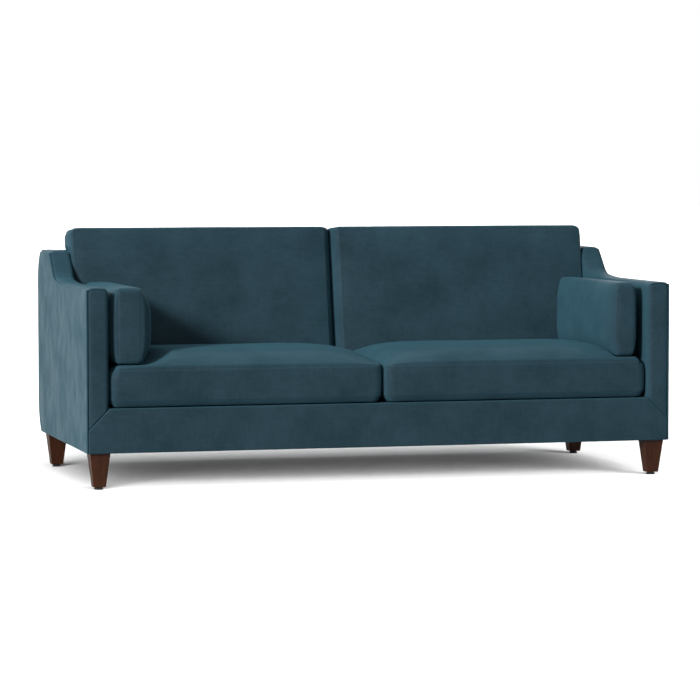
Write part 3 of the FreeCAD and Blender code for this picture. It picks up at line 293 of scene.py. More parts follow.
BACK_TOP = (948, REAR_HEIGHT)
BACK_FOOT = (950, BASE)
BACK_LINE = np.concatenate((bowed(BACK_TOP, (1008, 690), 145, 4), bowed((1004, 240), BACK_FOOT, 160, 4)))
TOP_LINE = arm_top()


def top_height(depth):
    return np.interp(depth, TOP_LINE[:, 0], TOP_LINE[:, 1])


def along_line(line, count):
    """Places spaced evenly along a line."""
    run = np.concatenate(([0], np.cumsum(np.hypot(*np.diff(line, axis=0).T))))
    places = np.linspace(0, run[-1], count + 1)
    return np.stack([np.interp(places, run, line[:, axis]) for axis in (0, 1)], 1)


def drawn_in(outline, inset):
    """A closed outline, drawn in all round by a distance, with its sharp corners kept."""
    before = outline - np.roll(outline, 1, 0)
    after = np.roll(outline, -1, 0) - outline
    inward = []
    for edge in (before, after):
        edge = edge / np.hypot(*edge.T)[:, None]
        inward.append(np.stack((edge[:, 1], -edge[:, 0]), 1))
    middle = inward[0] + inward[1]
    reach = 2 / (middle ** 2).sum(1)
    return outline + inset * middle * reach[:, None]


def soft_wave(points, height, length, seed):
    """How far cloth over wadding stands proud of flat at each place: a slow, uneven wave."""
    shift = Vector((seed, 1.7 * seed, 0.6 * seed))
    return np.array([height * noise.noise(Vector(point) / length + shift) for point in points.reshape(-1, 3)]
                    ).reshape(points.shape[:-1])


def in_metres(places):
    """Places in the sofa's own millimetres as places in the frame that all pieces share."""
    return (places + (0, FRONT_PLANE, 0)) / 1000


def new_piece(name, mesh):
    """An object at the origin for a mesh."""
    piece = bpy.data.objects.new(name, mesh)
    bpy.context.scene.collection.objects.link(piece)
    return piece


def sewn_piece(name, grids, outside, cloth=velvet, shell=3, openings=()):
    """One piece of cloth from grids of places, welded where they meet, with its faces turned to a far point.
    The cloth and its wadding have the shell's thickness, and leave out square openings in the ground plan."""
    net = bmesh.new()
    for grid in grids:
        columns, rows = grid.shape[:2]
        spots = [[net.verts.new(spot) for spot in column] for column in in_metres(grid).tolist()]
        for column in range(columns - 1):
            for row in range(rows - 1):
                middle = (grid[column, row] + grid[column + 1, row + 1])[:2] / 2
                if any(np.abs(middle - centre).max() < half for centre, half in openings):
                    continue
                net.faces.new((spots[column][row], spots[column + 1][row],
                               spots[column + 1][row + 1], spots[column][row + 1]))
    bmesh.ops.delete(net, geom=[spot for spot in net.verts if not spot.link_faces], context="VERTS")
    bmesh.ops.remove_doubles(net, verts=net.verts, dist=0.00005)
    bmesh.ops.recalc_face_normals(net, faces=net.faces)
    far = Vector(outside)
    turned = sum(face.normal.dot(far - face.calc_center_median()) * face.calc_area() for face in net.faces)
    if turned < 0:
        bmesh.ops.reverse_faces(net, faces=net.faces)
    mesh = bpy.data.meshes.new(name)
    net.to_mesh(mesh)
    net.free()
    piece = new_piece(name, mesh)
    thickness = piece.modifiers.new("cloth", "SOLIDIFY")
    thickness.thickness = shell / 1000
    thickness.offset = -1
    return finished(piece, cloth)


def finished(piece, material):
    """The piece with its modifiers applied, smooth and in its material."""
    ready = piece.evaluated_get(bpy.context.evaluated_depsgraph_get())
    mesh = bpy.data.meshes.new_from_object(ready)
    mesh.name = piece.name
    piece.modifiers.clear()
    piece.data = mesh
    mesh.materials.clear()
    mesh.materials.append(material)
    mesh.shade_smooth()
    return piece


def upholster(piece, body, fill, *cad_names, slot="velvet"):
    """Lets a piece ride on a body and hides the CAD solids it stands for. Its fill and slot are not used."""
    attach(piece, body)
    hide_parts(*cad_names)


UPRIGHT_RUNS = 44
EDGE_OUT = 5
EDGE_IN = 8
PANEL_DROP = 5
PANEL_PROUD = 0.8


def panel_edge():
    """From the seam round the soft edge: distance from the sofa's middle, and inset from the outline."""
    seam = [(0.2, 9), (0.4, 4.5), (0.9, 1.8), (1.8, 0.5)]
    angles = np.radians(np.arange(20, 91, 10))
    soft = [(HALF_WIDTH - EDGE_OUT * (1 - math.sin(angle)), EDGE_IN * (1 - math.cos(angle)))
            for angle in angles]
    return [(PANEL_SEAM + out, inset) for out, inset in seam] + soft


PANEL_EDGE = panel_edge()


def outside_arm_panel(side, sign):
    stations = np.concatenate((np.arange(0, 620, 14), np.arange(622, 740, 7), np.arange(742, 768, 3.2),
                               np.linspace(775, BACK_TOP[0], 13)))
    top = np.stack((stations, top_height(stations) - PANEL_DROP), 1)
    bottom = np.stack((stations * BACK_FOOT[0] / BACK_TOP[0], np.full(len(stations), BASE)), 1)
    upright = np.linspace(BASE, ARM_HEIGHT - PANEL_DROP, UPRIGHT_RUNS + 1)
    front = np.stack((np.zeros(len(upright)), upright), 1)
    back = along_line(BACK_LINE, UPRIGHT_RUNS)
    back[0, 1] -= PANEL_DROP
    loop = np.concatenate((front[:-1], top[:-1], back[:-1], bottom[:0:-1]))
    rings = [np.insert(drawn_in(loop, inset), 0, middle, axis=1) for middle, inset in PANEL_EDGE]
    edge = np.stack(rings, 1)
    edge = np.concatenate((edge, edge[:1]))

    inner = drawn_in(loop, PANEL_EDGE[-1][1])
    width = len(stations) - 1
    front_in = inner[:UPRIGHT_RUNS + 1]
    top_in = inner[UPRIGHT_RUNS:UPRIGHT_RUNS + width + 1]
    back_in = inner[UPRIGHT_RUNS + width:2 * UPRIGHT_RUNS + width + 1][::-1]
    bottom_in = np.concatenate((inner[2 * UPRIGHT_RUNS + width:], inner[:1]))[::-1]
    u = (stations / stations[-1])[:, None, None]
    v = np.linspace(0, 1, UPRIGHT_RUNS + 1)[None, :, None]
    flat = ((1 - v) * bottom_in[:, None] + v * top_in[:, None] + (1 - u) * front_in[None] + u * back_in[None]
            - (1 - u) * (1 - v) * inner[0] - u * (1 - v) * bottom_in[-1]
            - (1 - u) * v * top_in[0] - u * v * top_in[-1])
    face = np.concatenate((np.full(flat.shape[:2] + (1,), PANEL_EDGE[-1][0]), flat), 2)
    inside = (4 * u * (1 - u) * 4 * v * (1 - v))[..., 0]
    wave = soft_wave(face, height=1.4, length=210, seed=sign * 3.1)
    face[..., 0] += np.sqrt(inside) * (PANEL_PROUD + wave)
    for grid in (edge, face):
        grid[..., 0] *= sign
    piece = sewn_piece(f"outside_arm_{side}", [edge, face], (sign * 9, 0, 0.4), brushed_velvet)
    upholster(piece, "frame", 0.9, f"outside_arm_panel_{side}")


for side, sign in SIDES.items():
    outside_arm_panel(side, sign)


# Arm covers: velvet over foam and wadding, wrapped from inside the seat over the arm's soft inner edge.
# The front facing is sewn to the top along the arm's front corner and mitred into the rail cover below.

DECK = 283
ARM_INSIDE = 987
INSIDE_REACH = 986.4
ARM_REAR = 944
ARM_EDGE_WIDTH = 20
ARM_EDGE_DROP = 26
ROLL_FADE = 10
MITRE_FOOT = DECK - (PANEL_SEAM - ARM_INSIDE)
CORNER_RUN = 150


def graded(length, count, edge):
    """Places along a length that lie closer towards both ends. edge is the end spacing over the mean one."""
    run = np.linspace(0, 1, count + 1)
    return length * (run - (1 - edge) * np.sin(2 * math.pi * run) / (2 * math.pi))


def seam_dip(distance, depth, width):
    """How far cloth sinks towards a seam at a distance from it."""
    return depth * (1 - np.clip(np.abs(distance) / width, 0, 1)) ** 2


# Front edge of the arm's top, from its seam up and back: depth, and drop below the top
FRONT_ROLL = [(4.4, 8.4), (1.8, 7.4), (0.4, 5.6), (0.1, 3.8), (0.8, 2), (2.4, 0.8), (5, 0.1)]
SEAM_WIDTH = 5
MITRE_DEPTH = 5


def arm_section():
    """Across the arm, from its outside seam to its inside: distance from the middle, and depth in the arm."""
    lip = [(0.2, 10), (0.8, 6.6), (2, 4.4), (4.2, 2.6), (8, 0.9), (13, -0.3)]
    crown = [(19, -1), (26, -1.3), (33, -1.3), (40, -1), (47, -0.5)]
    angles = np.radians(np.arange(0, 91, 10))
    edge = [(ARM_INSIDE + ARM_EDGE_WIDTH - ARM_EDGE_WIDTH * math.sin(angle),
             ARM_EDGE_DROP - ARM_EDGE_DROP * math.cos(angle)) for angle in angles]
    outer = [(PANEL_SEAM - inward, depth) for inward, depth in lip + crown]
    return np.array(outer + edge + [(986.7, 36), (986.5, 47), (INSIDE_REACH, 60)])


def arm_cover(side, sign):
    section = arm_section()
    across = section[:, 0]
    depth_in = section[:, 1]
    rows = len(section)
    seam_share = np.clip((across - ARM_INSIDE) / ROLL_FADE, 0, 1)
    roll_depth, roll_drop = np.array(FRONT_ROLL).T
    rear = np.array([30, 20, 13, 8.5, 5.2, 3, 1.4, 0])
    stations = np.concatenate(((10, 16, 24, 33), np.arange(42, 620, 14), np.arange(622, 740, 6),
                               np.arange(742, 766, 2), np.arange(772, 914, 14), ARM_REAR - rear))
    runs = graded(1, 46, edge=0.12)

    top = np.zeros((len(roll_depth) + len(stations), rows + len(runs) - 1, 3))
    even = np.linspace(0, roll_depth[-1], len(roll_depth))
    lines = [(depth * seam_share + level * (1 - seam_share), drop * seam_share)
             for depth, drop, level in zip(roll_depth, roll_drop, even)]
    lines += [(np.full(rows, station), seam_dip(ARM_REAR - station, depth=3, width=SEAM_WIDTH))
              for station in stations]
    for column, (run, drop) in zip(top, lines):
        depth = run + depth_in * np.clip(1 - run / CORNER_RUN, 0, None)
        height = top_height(depth) - depth_in - drop
        column[:rows] = np.stack((across, depth, height), 1)
        column[rows:, 0] = across[-1]
        column[rows:, 1] = depth[-1]
        column[rows:, 2] = height[-1] + runs[1:] * (DECK - height[-1])

    front = np.zeros((len(runs), rows, 3))
    foot = DECK - np.clip(across - ARM_INSIDE, 0, None)
    head = top[0, :rows, 2]
    for row, run in zip(front, runs):
        height = head + run * (foot - head)
        mitre = seam_dip((height - foot) * math.sqrt(0.5), MITRE_DEPTH, SEAM_WIDTH)
        mitre[-1] = 0
        dip = seam_dip(head - height, roll_depth[0], SEAM_WIDTH) * seam_share
        shared = depth_in * (1 - even[0] / CORNER_RUN)
        row[:] = np.stack((across, shared + dip + mitre, height), 1)
    front[0] = top[0, :rows]

    for grid in (top, front):
        grid[..., 0] *= sign
    piece = sewn_piece(f"arm_{side}", [top, front], (-sign * 6, -6, 6))
    upholster(piece, "frame", 0.85, f"arm_cover_{side}")


for side, sign in SIDES.items():
    arm_cover(side, sign)


# Front rail cover: one velvet panel over wadding on the front seat rail.
# Its ends run out under the arm fronts' mitre seams to the outside panels, and it turns under the rail.

RAIL_ROUND = 4
RAIL_TURN = 6
RAIL_BELLY = 1.4
RAIL_FADE = 20


def swept(across, profile):
    """A grid of places: a profile of depths and heights at each place across the sofa."""
    grid = np.zeros((len(across), len(profile), 3))
    grid[..., 0] = across
    grid[..., 1:] = profile
    return grid


def rail_profile():
    """From the deck over the rail's front and under its lower edge: depth and height."""
    angles = np.radians(np.arange(0, 91, 15))
    head = [(RAIL_ROUND - RAIL_ROUND * math.sin(angle), DECK - RAIL_ROUND + RAIL_ROUND * math.cos(angle))
            for angle in angles]
    tail = [(RAIL_TURN - RAIL_TURN * math.cos(angle), BASE + RAIL_TURN - RAIL_TURN * math.sin(angle))
            for angle in angles]
    flat = np.linspace(DECK - RAIL_ROUND, BASE + RAIL_TURN, 20)[1:-1]
    return np.array([(14, DECK - 1)] + head + [(0, height) for height in flat] + tail + [(14, BASE + 0.5)])


def front_rail():
    profile = rail_profile()
    share = graded(2, 170, edge=0.08) - 1
    ends = PANEL_SEAM - np.clip(profile[:, 1] - MITRE_FOOT, 0, None)
    across = share[:, None] * ends[None]
    slant = np.where(profile[:, 1] > MITRE_FOOT, math.sqrt(0.5), 1)
    from_end = (ends[None] - np.abs(across)) * slant[None]
    belly = RAIL_BELLY * np.sin(math.pi * np.clip((profile[:, 1] - BASE) / (DECK - BASE), 0, 1))
    grid = swept(across, profile)
    flatness = np.clip(from_end / RAIL_FADE, 0, 1)
    proud = flatness * (belly[None] + soft_wave(grid, height=0.7, length=240, seed=2.2))
    grid[..., 1] += seam_dip(from_end, MITRE_DEPTH, SEAM_WIDTH) - proud
    piece = sewn_piece("front_rail", [grid], (0, -9, 0.2))
    upholster(piece, "frame", 0.85, "front_rail_cover")


front_rail()


# Inside back and outside back: velvet over padding, sewn together along the top of the back frame.
# The inside leans with the frame and is plain behind the cushions; the outside is one bowed panel.

BACK_LEAN = math.tan(math.radians(10.8))
INSIDE_BACK = 782
BACK_ROUND = 20
SHELF_WAVED = 930
OUTSIDE_REACH = PANEL_SEAM - 0.4
OUTSIDE_FADE = 60


def inside_back():
    lean_top = REAR_HEIGHT - BACK_ROUND
    heights = np.linspace(DECK + 0.8, lean_top - 2, 34)
    face = [(INSIDE_BACK + (height - DECK) * BACK_LEAN, height) for height in heights]
    front_edge = INSIDE_BACK + (lean_top - DECK) * BACK_LEAN
    angles = np.radians(np.arange(10, 91, 10))
    edge = [(front_edge + BACK_ROUND * (1 - math.cos(angle)), lean_top + BACK_ROUND * math.sin(angle))
            for angle in angles]
    shelf = [(depth, REAR_HEIGHT) for depth in (908, 918, 928, 935)]
    lip = [(939, 805.8), (941.6, 805), (943, 803), (943.4, 799)]
    profile = np.array(face + edge + shelf + lip)
    across = graded(2 * INSIDE_REACH, 90, edge=0.3) - INSIDE_REACH
    grid = swept(across[:, None], profile)
    wave = soft_wave(grid, height=0.5, length=180, seed=4.4)
    grid[..., 2] += np.where(grid[..., 1] < SHELF_WAVED, wave, 0)
    piece = sewn_piece("inside_back", [grid], (0, -6, 6))
    upholster(piece, "frame", 0.8, "inside_back_cover")


def outside_back():
    lip = [(944.6, 798), (944.9, 802.5), (945.8, 805.2)]
    tuck = [(946, 127.6), (938, 128.4), (930, 129)]
    profile = np.concatenate((lip, along_line(BACK_LINE, 70), tuck))
    run = np.gradient(profile, axis=0)
    outward = np.stack((-run[:, 1], run[:, 0]), 1) / np.hypot(*run.T)[:, None]
    across = graded(2 * OUTSIDE_REACH, 150, edge=0.09) - OUTSIDE_REACH
    from_end = PANEL_SEAM - np.abs(across)
    grid = swept(across[:, None], profile)
    middle = np.sin(math.pi * np.linspace(0, 1, len(profile)))
    wave = soft_wave(grid, height=1.6, length=260, seed=7.7)
    proud = (wave * middle[None] * np.clip(from_end / OUTSIDE_FADE, 0, 1)[:, None]
             - seam_dip(from_end, depth=4, width=SEAM_WIDTH)[:, None])
    grid[..., 1:] += proud[..., None] * outward[None]
    piece = sewn_piece("outside_back", [grid], (0, 9, 0.5))
    upholster(piece, "frame", 0.8, "outside_back_panel")


inside_back()
outside_back()


# Deck: felt and wadding over the springs under a plain woven cloth, tacked to the rails below the cushions.
# A strip of the velvet is sewn along its front edge, where a gap between the cushions would show it.

DECK_FRONT = 14.6
DECK_STRIP = 112
DECK_REAR = 915
DECK_SAG = 1.2
DECK_FADE = 60


def plain_weave(name, light, dark, thread):
    """Plain woven cloth with threads of one width in metres, over and under each other."""
    material, tree, shader, place = new_material(name, roughness=0.85, specular_ior_level=0.2)
    axes = add_node(tree, "ShaderNodeSeparateXYZ", {0: place}).node.outputs
    upward = add_node(tree, "ShaderNodeMath", {0: axes["Y"], 1: axes["Z"]})
    waves = []
    for run in (axes["X"], upward):
        turns = add_node(tree, "ShaderNodeMath", {0: run, 1: math.pi / thread}, operation="MULTIPLY")
        waves.append(add_node(tree, "ShaderNodeMath", {0: turns}, operation="SINE"))
    crossed = add_node(tree, "ShaderNodeMath", {0: waves[0], 1: waves[1]}, operation="MULTIPLY")
    over = add_node(tree, "ShaderNodeMapRange", {"Value": crossed, "From Min": -1.0, "From Max": 1.0})
    show_pattern(tree, shader, over, dark, light, over, strength=0.5, depth=thread / 5)
    return material


# Real deck threads are about 0.6 mm wide and too fine to show, so they are drawn at 4 mm.
deck_cloth = plain_weave("plain_weave_deck_cloth", "#2E424B", "#1B292F", thread=0.004)


def deck_piece(name, cloth, front, rear, rows):
    """One width of cloth over the deck, whose front and rear edges are sewn down."""
    across = graded(2 * INSIDE_REACH, 110, edge=0.3) - INSIDE_REACH
    along = front + graded(rear - front, rows, edge=0.2)
    grid = swept(across[:, None], np.stack((along, 0 * along), 1))
    from_edge = np.minimum(along - front, rear - along)[None]
    loose = np.clip(from_edge / DECK_FADE, 0, 1)
    sag = loose * (DECK_SAG + soft_wave(grid, height=1.2, length=160, seed=6.1))
    grid[..., 2] = DECK - 0.4 - seam_dip(from_edge, depth=3, width=9) - sag
    return sewn_piece(name, [grid], (0, 0, 9), cloth, shell=9)


upholster(deck_piece("deck_strip", velvet, DECK_FRONT, DECK_STRIP, 14), "frame", 0.6)
upholster(deck_piece("deck", deck_cloth, DECK_STRIP, DECK_REAR, 60), "frame", 0.6, "deck_pad",
          slot="deck_cloth")


# Dust cover: thin black spun-bonded cloth, stretched under the frame, cut out round the legs and stapled on.
# Its fibres show as a fine tangle, and the staples are bright plated wire.

DUST_HALF_WIDTH = 1057.8
DUST_FRONT = 14.6
DUST_REAR = 943.4
DUST_LEVEL = 128.7
LEG_ACROSS = 1016.6
LEG_DEPTHS = (54, 901.5)
LEG_OPENING = 37
LEG_CLEAR = 60
DUST_HEM = 8
DUST_SAG = 3


def spun_bonded(name, light, dark, fibre):
    """Cloth of fibres of a width in metres, bonded at random and drawn out along X."""
    material, tree, shader, place = new_material(name, roughness=0.75, specular_ior_level=0.25)
    drawn = add_node(tree, "ShaderNodeMapping",
                     {"Vector": place, "Scale": (0.25 / fibre, 1 / fibre, 1 / fibre)})
    tangle = add_node(tree, "ShaderNodeTexNoise",
                      {"Vector": drawn, "Scale": 1.0, "Detail": 5.0, "Distortion": 1.5})
    show_pattern(tree, shader, tangle, dark, light, tangle, strength=0.4, depth=fibre / 4)
    return material


def bar_row_tree():
    """Short round bars along a path: their spacing, length and thickness, and their turn from the path."""
    tree = bpy.data.node_groups.new("row_of_bars", "GeometryNodeTree")
    tree.interface.new_socket("Path", in_out="INPUT", socket_type="NodeSocketGeometry")
    for size in ("Spacing", "Length", "Thickness", "Turn"):
        tree.interface.new_socket(size, in_out="INPUT", socket_type="NodeSocketFloat")
    tree.interface.new_socket("Finish", in_out="INPUT", socket_type="NodeSocketMaterial")
    tree.interface.new_socket("Bars", in_out="OUTPUT", socket_type="NodeSocketGeometry")
    given = add_node(tree, "NodeGroupInput").node.outputs
    line = add_node(tree, "GeometryNodeMeshToCurve", {"Mesh": given["Path"]})
    spots = add_node(tree, "GeometryNodeResampleCurve", {"Curve": line, "Length": given["Spacing"]},
                     mode="LENGTH")
    radius = add_node(tree, "ShaderNodeMath", {0: given["Thickness"], 1: 0.5}, operation="MULTIPLY")
    bar = add_node(tree, "GeometryNodeMeshCylinder",
                   {"Vertices": 8, "Radius": radius, "Depth": given["Length"]}, "Mesh")
    lying = add_node(tree, "GeometryNodeTransform",
                     {"Geometry": bar, "Rotation": (0, math.pi / 2, 0)})
    tangent = add_node(tree, "GeometryNodeInputTangent")
    along = add_node(tree, "FunctionNodeAlignRotationToVector", {"Vector": tangent}, axis="X")
    angles = add_node(tree, "ShaderNodeCombineXYZ", {"Z": given["Turn"]})
    turn = add_node(tree, "FunctionNodeEulerToRotation", {0: angles})
    turned = add_node(tree, "FunctionNodeRotateRotation", {"Rotation": along, "Rotate By": turn},
                      rotation_space="LOCAL")
    row = add_node(tree, "GeometryNodeInstanceOnPoints",
                   {"Points": spots, "Instance": lying, "Rotation": turned})
    real = add_node(tree, "GeometryNodeRealizeInstances", {"Geometry": row})
    dressed = add_node(tree, "GeometryNodeSetMaterial", {"Geometry": real, "Material": given["Finish"]})
    add_node(tree, "NodeGroupOutput", {0: dressed})
    return tree


BAR_ROW = bar_row_tree()


def bar_row(name, runs, finish, **sizes):
    """A mesh of bars along straight runs, each from one place to another. Places and sizes are in metres."""
    mesh = bpy.data.meshes.new(name)
    ends = np.reshape(runs, (-1, 3)).tolist()
    mesh.from_pydata(ends, [(2 * number, 2 * number + 1) for number in range(len(runs))], [])
    piece = new_piece(name, mesh)
    row = piece.modifiers.new("row", "NODES")
    row.node_group = BAR_ROW
    sockets = {item.name: item.identifier for item in BAR_ROW.interface.items_tree
               if item.in_out == "INPUT"}
    for size, value in sizes.items():
        row[sockets[size]] = value
    row[sockets["Finish"]] = finish
    return finished(piece, finish)


def dust_cover():
    signs = SIDES.values()
    openings = [((sign * LEG_ACROSS, depth), LEG_OPENING) for sign in signs for depth in LEG_DEPTHS]
    cuts = (-LEG_OPENING, LEG_OPENING)
    cuts_across = [sign * LEG_ACROSS + cut for sign in signs for cut in cuts]
    cuts_along = [depth + cut for depth in LEG_DEPTHS for cut in cuts]
    across = np.unique(np.concatenate((np.linspace(-DUST_HALF_WIDTH, DUST_HALF_WIDTH, 90), cuts_across)))
    along = np.unique(np.concatenate((np.linspace(DUST_FRONT, DUST_REAR, 44), cuts_along)))
    grid = swept(across[:, None], np.stack((along, 0 * along), 1))
    inside = (1 - (grid[..., 0] / DUST_HALF_WIDTH) ** 4) * np.sin(
        math.pi * (grid[..., 1] - DUST_FRONT) / (DUST_REAR - DUST_FRONT))
    wave = soft_wave(grid, height=1.5, length=130, seed=9.3)
    grid[..., 2] = DUST_LEVEL - inside * (DUST_SAG + wave)
    cloth = spun_bonded("spun_bonded_cloth", "#2A2A2B", "#0E0E0F", fibre=0.002)
    sheet = sewn_piece("dust_sheet", [grid], (0, 0, -9), cloth, shell=0.5, openings=openings)
    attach(sheet, "frame")
    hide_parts("dust_cover")

    level = DUST_LEVEL - 0.2
    end = LEG_ACROSS - LEG_CLEAR
    side = DUST_HALF_WIDTH - DUST_HEM
    first, last = LEG_DEPTHS[0] + LEG_CLEAR, LEG_DEPTHS[1] - LEG_CLEAR
    runs = [((-end, depth, level), (end, depth, level))
            for depth in (DUST_FRONT + DUST_HEM, DUST_REAR - DUST_HEM)]
    runs += [((sign * side, first, level), (sign * side, last, level)) for sign in signs]
    wire = plated_steel("plated_staple_wire", "#B4B6B7", "#95989A", patch=0.004, roughness=0.3)
    staples = bar_row("dust_sheet_staples", in_metres(np.array(runs)), wire,
                      Spacing=0.052, Length=0.011, Thickness=0.0011, Turn=0.25)
    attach(staples, "frame")


dust_cover()


# Seat cushions: boxed velvet covers over foam cores, crowned on top and pressed down under the arm pillows.
# Plain seams join the top and bottom panels to the boxing; the filling is blown up by a cloth simulation.

TIGHT_EDGE = 0.22
SWELL = 6
SWELL_STEPS = 20
EVEN_TURNS = 10
ON_SEAM = 0.001


def boxed_net(counts):
    """The six panels of a boxed cushion as one closed net: lattice places, and quads that face outwards."""
    across, along, up = counts
    spots = {}
    quads = []

    def panel(first, second, place, flip):
        for a in range(first):
            for b in range(second):
                corners = [place(a, b), place(a + 1, b), place(a + 1, b + 1), place(a, b + 1)]
                quad = [spots.setdefault(corner, len(spots)) for corner in corners]
                quads.append(quad[::-1] if flip else quad)

    panel(across, along, lambda a, b: (a, b, up), False)
    panel(across, along, lambda a, b: (a, b, 0), True)
    panel(across, up, lambda a, b: (a, 0, b), False)
    panel(across, up, lambda a, b: (a, along, b), True)
    panel(along, up, lambda a, b: (across, a, b), False)
    panel(along, up, lambda a, b: (0, a, b), True)
    return np.array(list(spots)), quads


def dome(distance, reach, power):
    """Height of a crown over its edge: 0 at the seam, 1 where it is flat. A higher power is squarer."""
    share = 1 - np.clip(distance / reach, 0, 1)
    return (1 - share ** power) ** (1 / power)


def boxed_cushion(size, counts, corner, top, bottom, bulge, fullness=0.0):
    """A boxed cushion lying flat, before it is filled. size is its width, length and boxing height, and
    counts its runs each way; corner is the corner radius in plan at the first and the second side; top and
    bottom are the height, reach and power of each crown; bulge is how far the boxing stands out between its
    seams, at the first side, the second side and both ends; fullness is the share by which the boxing is
    wider between the corners. Gives places, quads, and each place's distance from the nearest seam."""
    lattice, quads = boxed_net(counts)
    steps = [graded(length, count, TIGHT_EDGE) for length, count in zip(size, counts)]
    flat = np.stack([step[lattice[:, axis]] for axis, step in enumerate(steps)], 1)
    plan = np.array(size[:2])
    boxing = size[2]
    edge = np.minimum(flat[:, :2], plan - flat[:, :2])
    on_wall = edge.min(1) < ON_SEAM
    on_top = lattice[:, 2] == counts[2]
    on_bottom = lattice[:, 2] == 0
    rise = np.zeros(len(flat))
    for on_panel, direction, (height, reach, power) in ((on_top, 1, top), (on_bottom, -1, bottom)):
        crown = direction * height * dome(edge[:, 0], reach, power) * dome(edge[:, 1], reach, power)
        rise += np.where(on_panel & ~on_wall, crown, 0)

    from_middle = flat[:, :2] - plan / 2
    radius = np.where(from_middle[:, :1] < 0, corner[0], corner[1])
    beyond = np.abs(from_middle) - (plan / 2 - radius)
    in_corner = (beyond > 0).all(1)
    spread = np.where(in_corner, np.hypot(*beyond.T), 1)
    pull = np.where(in_corner, beyond.max(1) / spread, 1)
    rounded = np.where(in_corner[:, None], beyond * pull[:, None] - beyond, 0)
    share = np.abs(from_middle) / (plan / 2)
    wider = 1 + fullness * (1 - (share[:, 0] * share[:, 1]) ** 2)
    height = boxing / 2 + (flat[:, 2] - boxing / 2) * wider + rise
    belly = 1 - (2 * flat[:, 2] / boxing - 1) ** 2
    at_sides = np.where(from_middle[:, 0] < 0, bulge[0], bulge[1])
    reach = np.stack((at_sides, np.full(len(flat), bulge[2])), 1)
    stand_out = np.where(edge < ON_SEAM, belly[:, None] * reach, 0)
    places = np.concatenate((from_middle + np.sign(from_middle) * (rounded + stand_out), height[:, None]), 1)
    from_seam = np.minimum(flat[:, 2], boxing - flat[:, 2])
    seam = np.where(on_top | on_bottom, edge.min(1), from_seam)
    return places, quads, seam


def blown_up(piece, seam_group, held):
    """Presses the cover out between its seams, by no more than the swell, and evens that out."""
    scene = bpy.context.scene
    mesh = piece.data
    rest = np.zeros(len(mesh.vertices) * 3)
    mesh.vertices.foreach_get("co", rest)
    rest = rest.reshape(-1, 3)
    cloth = piece.modifiers.new("filling", "CLOTH")
    for name, value in {
        "quality": 6, "mass": 0.3, "tension_stiffness": 18, "compression_stiffness": 18, "shear_stiffness": 8,
        "bending_stiffness": 1.5, "use_pressure": True, "uniform_pressure_force": 4,
        "vertex_group_mass": seam_group, "pin_stiffness": 1,
    }.items():
        setattr(cloth.settings, name, value)
    cloth.settings.effector_weights.gravity = 0
    cloth.collision_settings.use_collision = False
    cloth.point_cache.frame_start = 1
    cloth.point_cache.frame_end = SWELL_STEPS
    for step in range(1, SWELL_STEPS + 1):
        scene.frame_set(step)
    ready = piece.evaluated_get(bpy.context.evaluated_depsgraph_get())
    moved = np.zeros(len(mesh.vertices) * 3)
    ready.data.vertices.foreach_get("co", moved)
    shift = moved.reshape(-1, 3) - rest
    length = np.linalg.norm(shift, axis=1)
    shift *= (np.minimum(length, SWELL / 1000) / np.maximum(length, 1e-9))[:, None]
    links = np.zeros(len(mesh.edges) * 2, int)
    mesh.edges.foreach_get("vertices", links)
    one, other = links.reshape(-1, 2).T
    neighbours = np.bincount(links, minlength=len(rest))[:, None]
    for turn in range(EVEN_TURNS):
        around = np.zeros_like(shift)
        np.add.at(around, one, shift[other])
        np.add.at(around, other, shift[one])
        shift = np.where(held[:, None], 0, around / neighbours)
    piece.modifiers.remove(cloth)
    scene.frame_set(1)
    mesh.vertices.foreach_set("co", (rest + shift).ravel())
    mesh.update()


# Pull of the thread along a seam, small puckers beside it, and the slow wave in which the cover lies
GROOVE_DEPTH = 1.4
GROOVE_WIDTH = 2
PUCKER_REACH = 22
PUCKER_START = 4
LIE_FADE = 60


def cushion(kind, side, places, quads, seam, seed, limits, fill, filling):
    """A loose cushion from places in the sofa's frame: filled, refined, pulled in along its seams, and put in
    the place of its CAD cover and filling."""
    name = f"{kind}_{side}"
    mesh = bpy.data.meshes.new(name)
    mesh.from_pydata(in_metres(places).tolist(), [], quads)
    piece = new_piece(name, mesh)
    net = bmesh.new()
    net.from_mesh(mesh)
    bmesh.ops.recalc_face_normals(net, faces=net.faces)
    net.to_mesh(mesh)
    net.free()
    held = seam < ON_SEAM
    pinned = piece.vertex_groups.new(name="seams")
    pinned.add([int(spot) for spot in np.flatnonzero(held)], 1.0, "REPLACE")
    distance = mesh.attributes.new("seam_distance", "FLOAT", "POINT")
    distance.data.foreach_set("value", seam.astype(np.float32))
    blown_up(piece, "seams", held)
    refine = piece.modifiers.new("refine", "SUBSURF")
    refine.levels = 1
    refine.render_levels = 1
    finished(piece, velvet)
    mesh = piece.data
    count = len(mesh.vertices)
    spots = np.zeros(count * 3)
    mesh.vertices.foreach_get("co", spots)
    spots = spots.reshape(-1, 3) * 1000 - (0, FRONT_PLANE, 0)
    normals = np.zeros(count * 3, np.float32)
    mesh.vertex_normals.foreach_get("vector", normals)
    normals = normals.reshape(-1, 3)
    seam = np.zeros(count, np.float32)
    mesh.attributes["seam_distance"].data.foreach_get("value", seam)
    groove = GROOVE_DEPTH * np.exp(-(seam / GROOVE_WIDTH) ** 2)
    near_seam = np.exp(-seam / PUCKER_REACH) * (1 - np.exp(-seam / PUCKER_START))
    pucker = soft_wave(spots, height=0.5, length=26, seed=seed) * near_seam
    lie = soft_wave(spots, height=1.8, length=190, seed=seed + 9) * np.clip(seam / LIE_FADE, 0, 1)
    spots += normals * (pucker + lie - groove)[:, None]
    mesh.vertices.foreach_set("co", in_metres(limits(spots)).ravel())
    mesh.update()
    upholster(piece, name, fill, f"{kind}_cover_{side}", f"{kind}_{filling}_{side}")


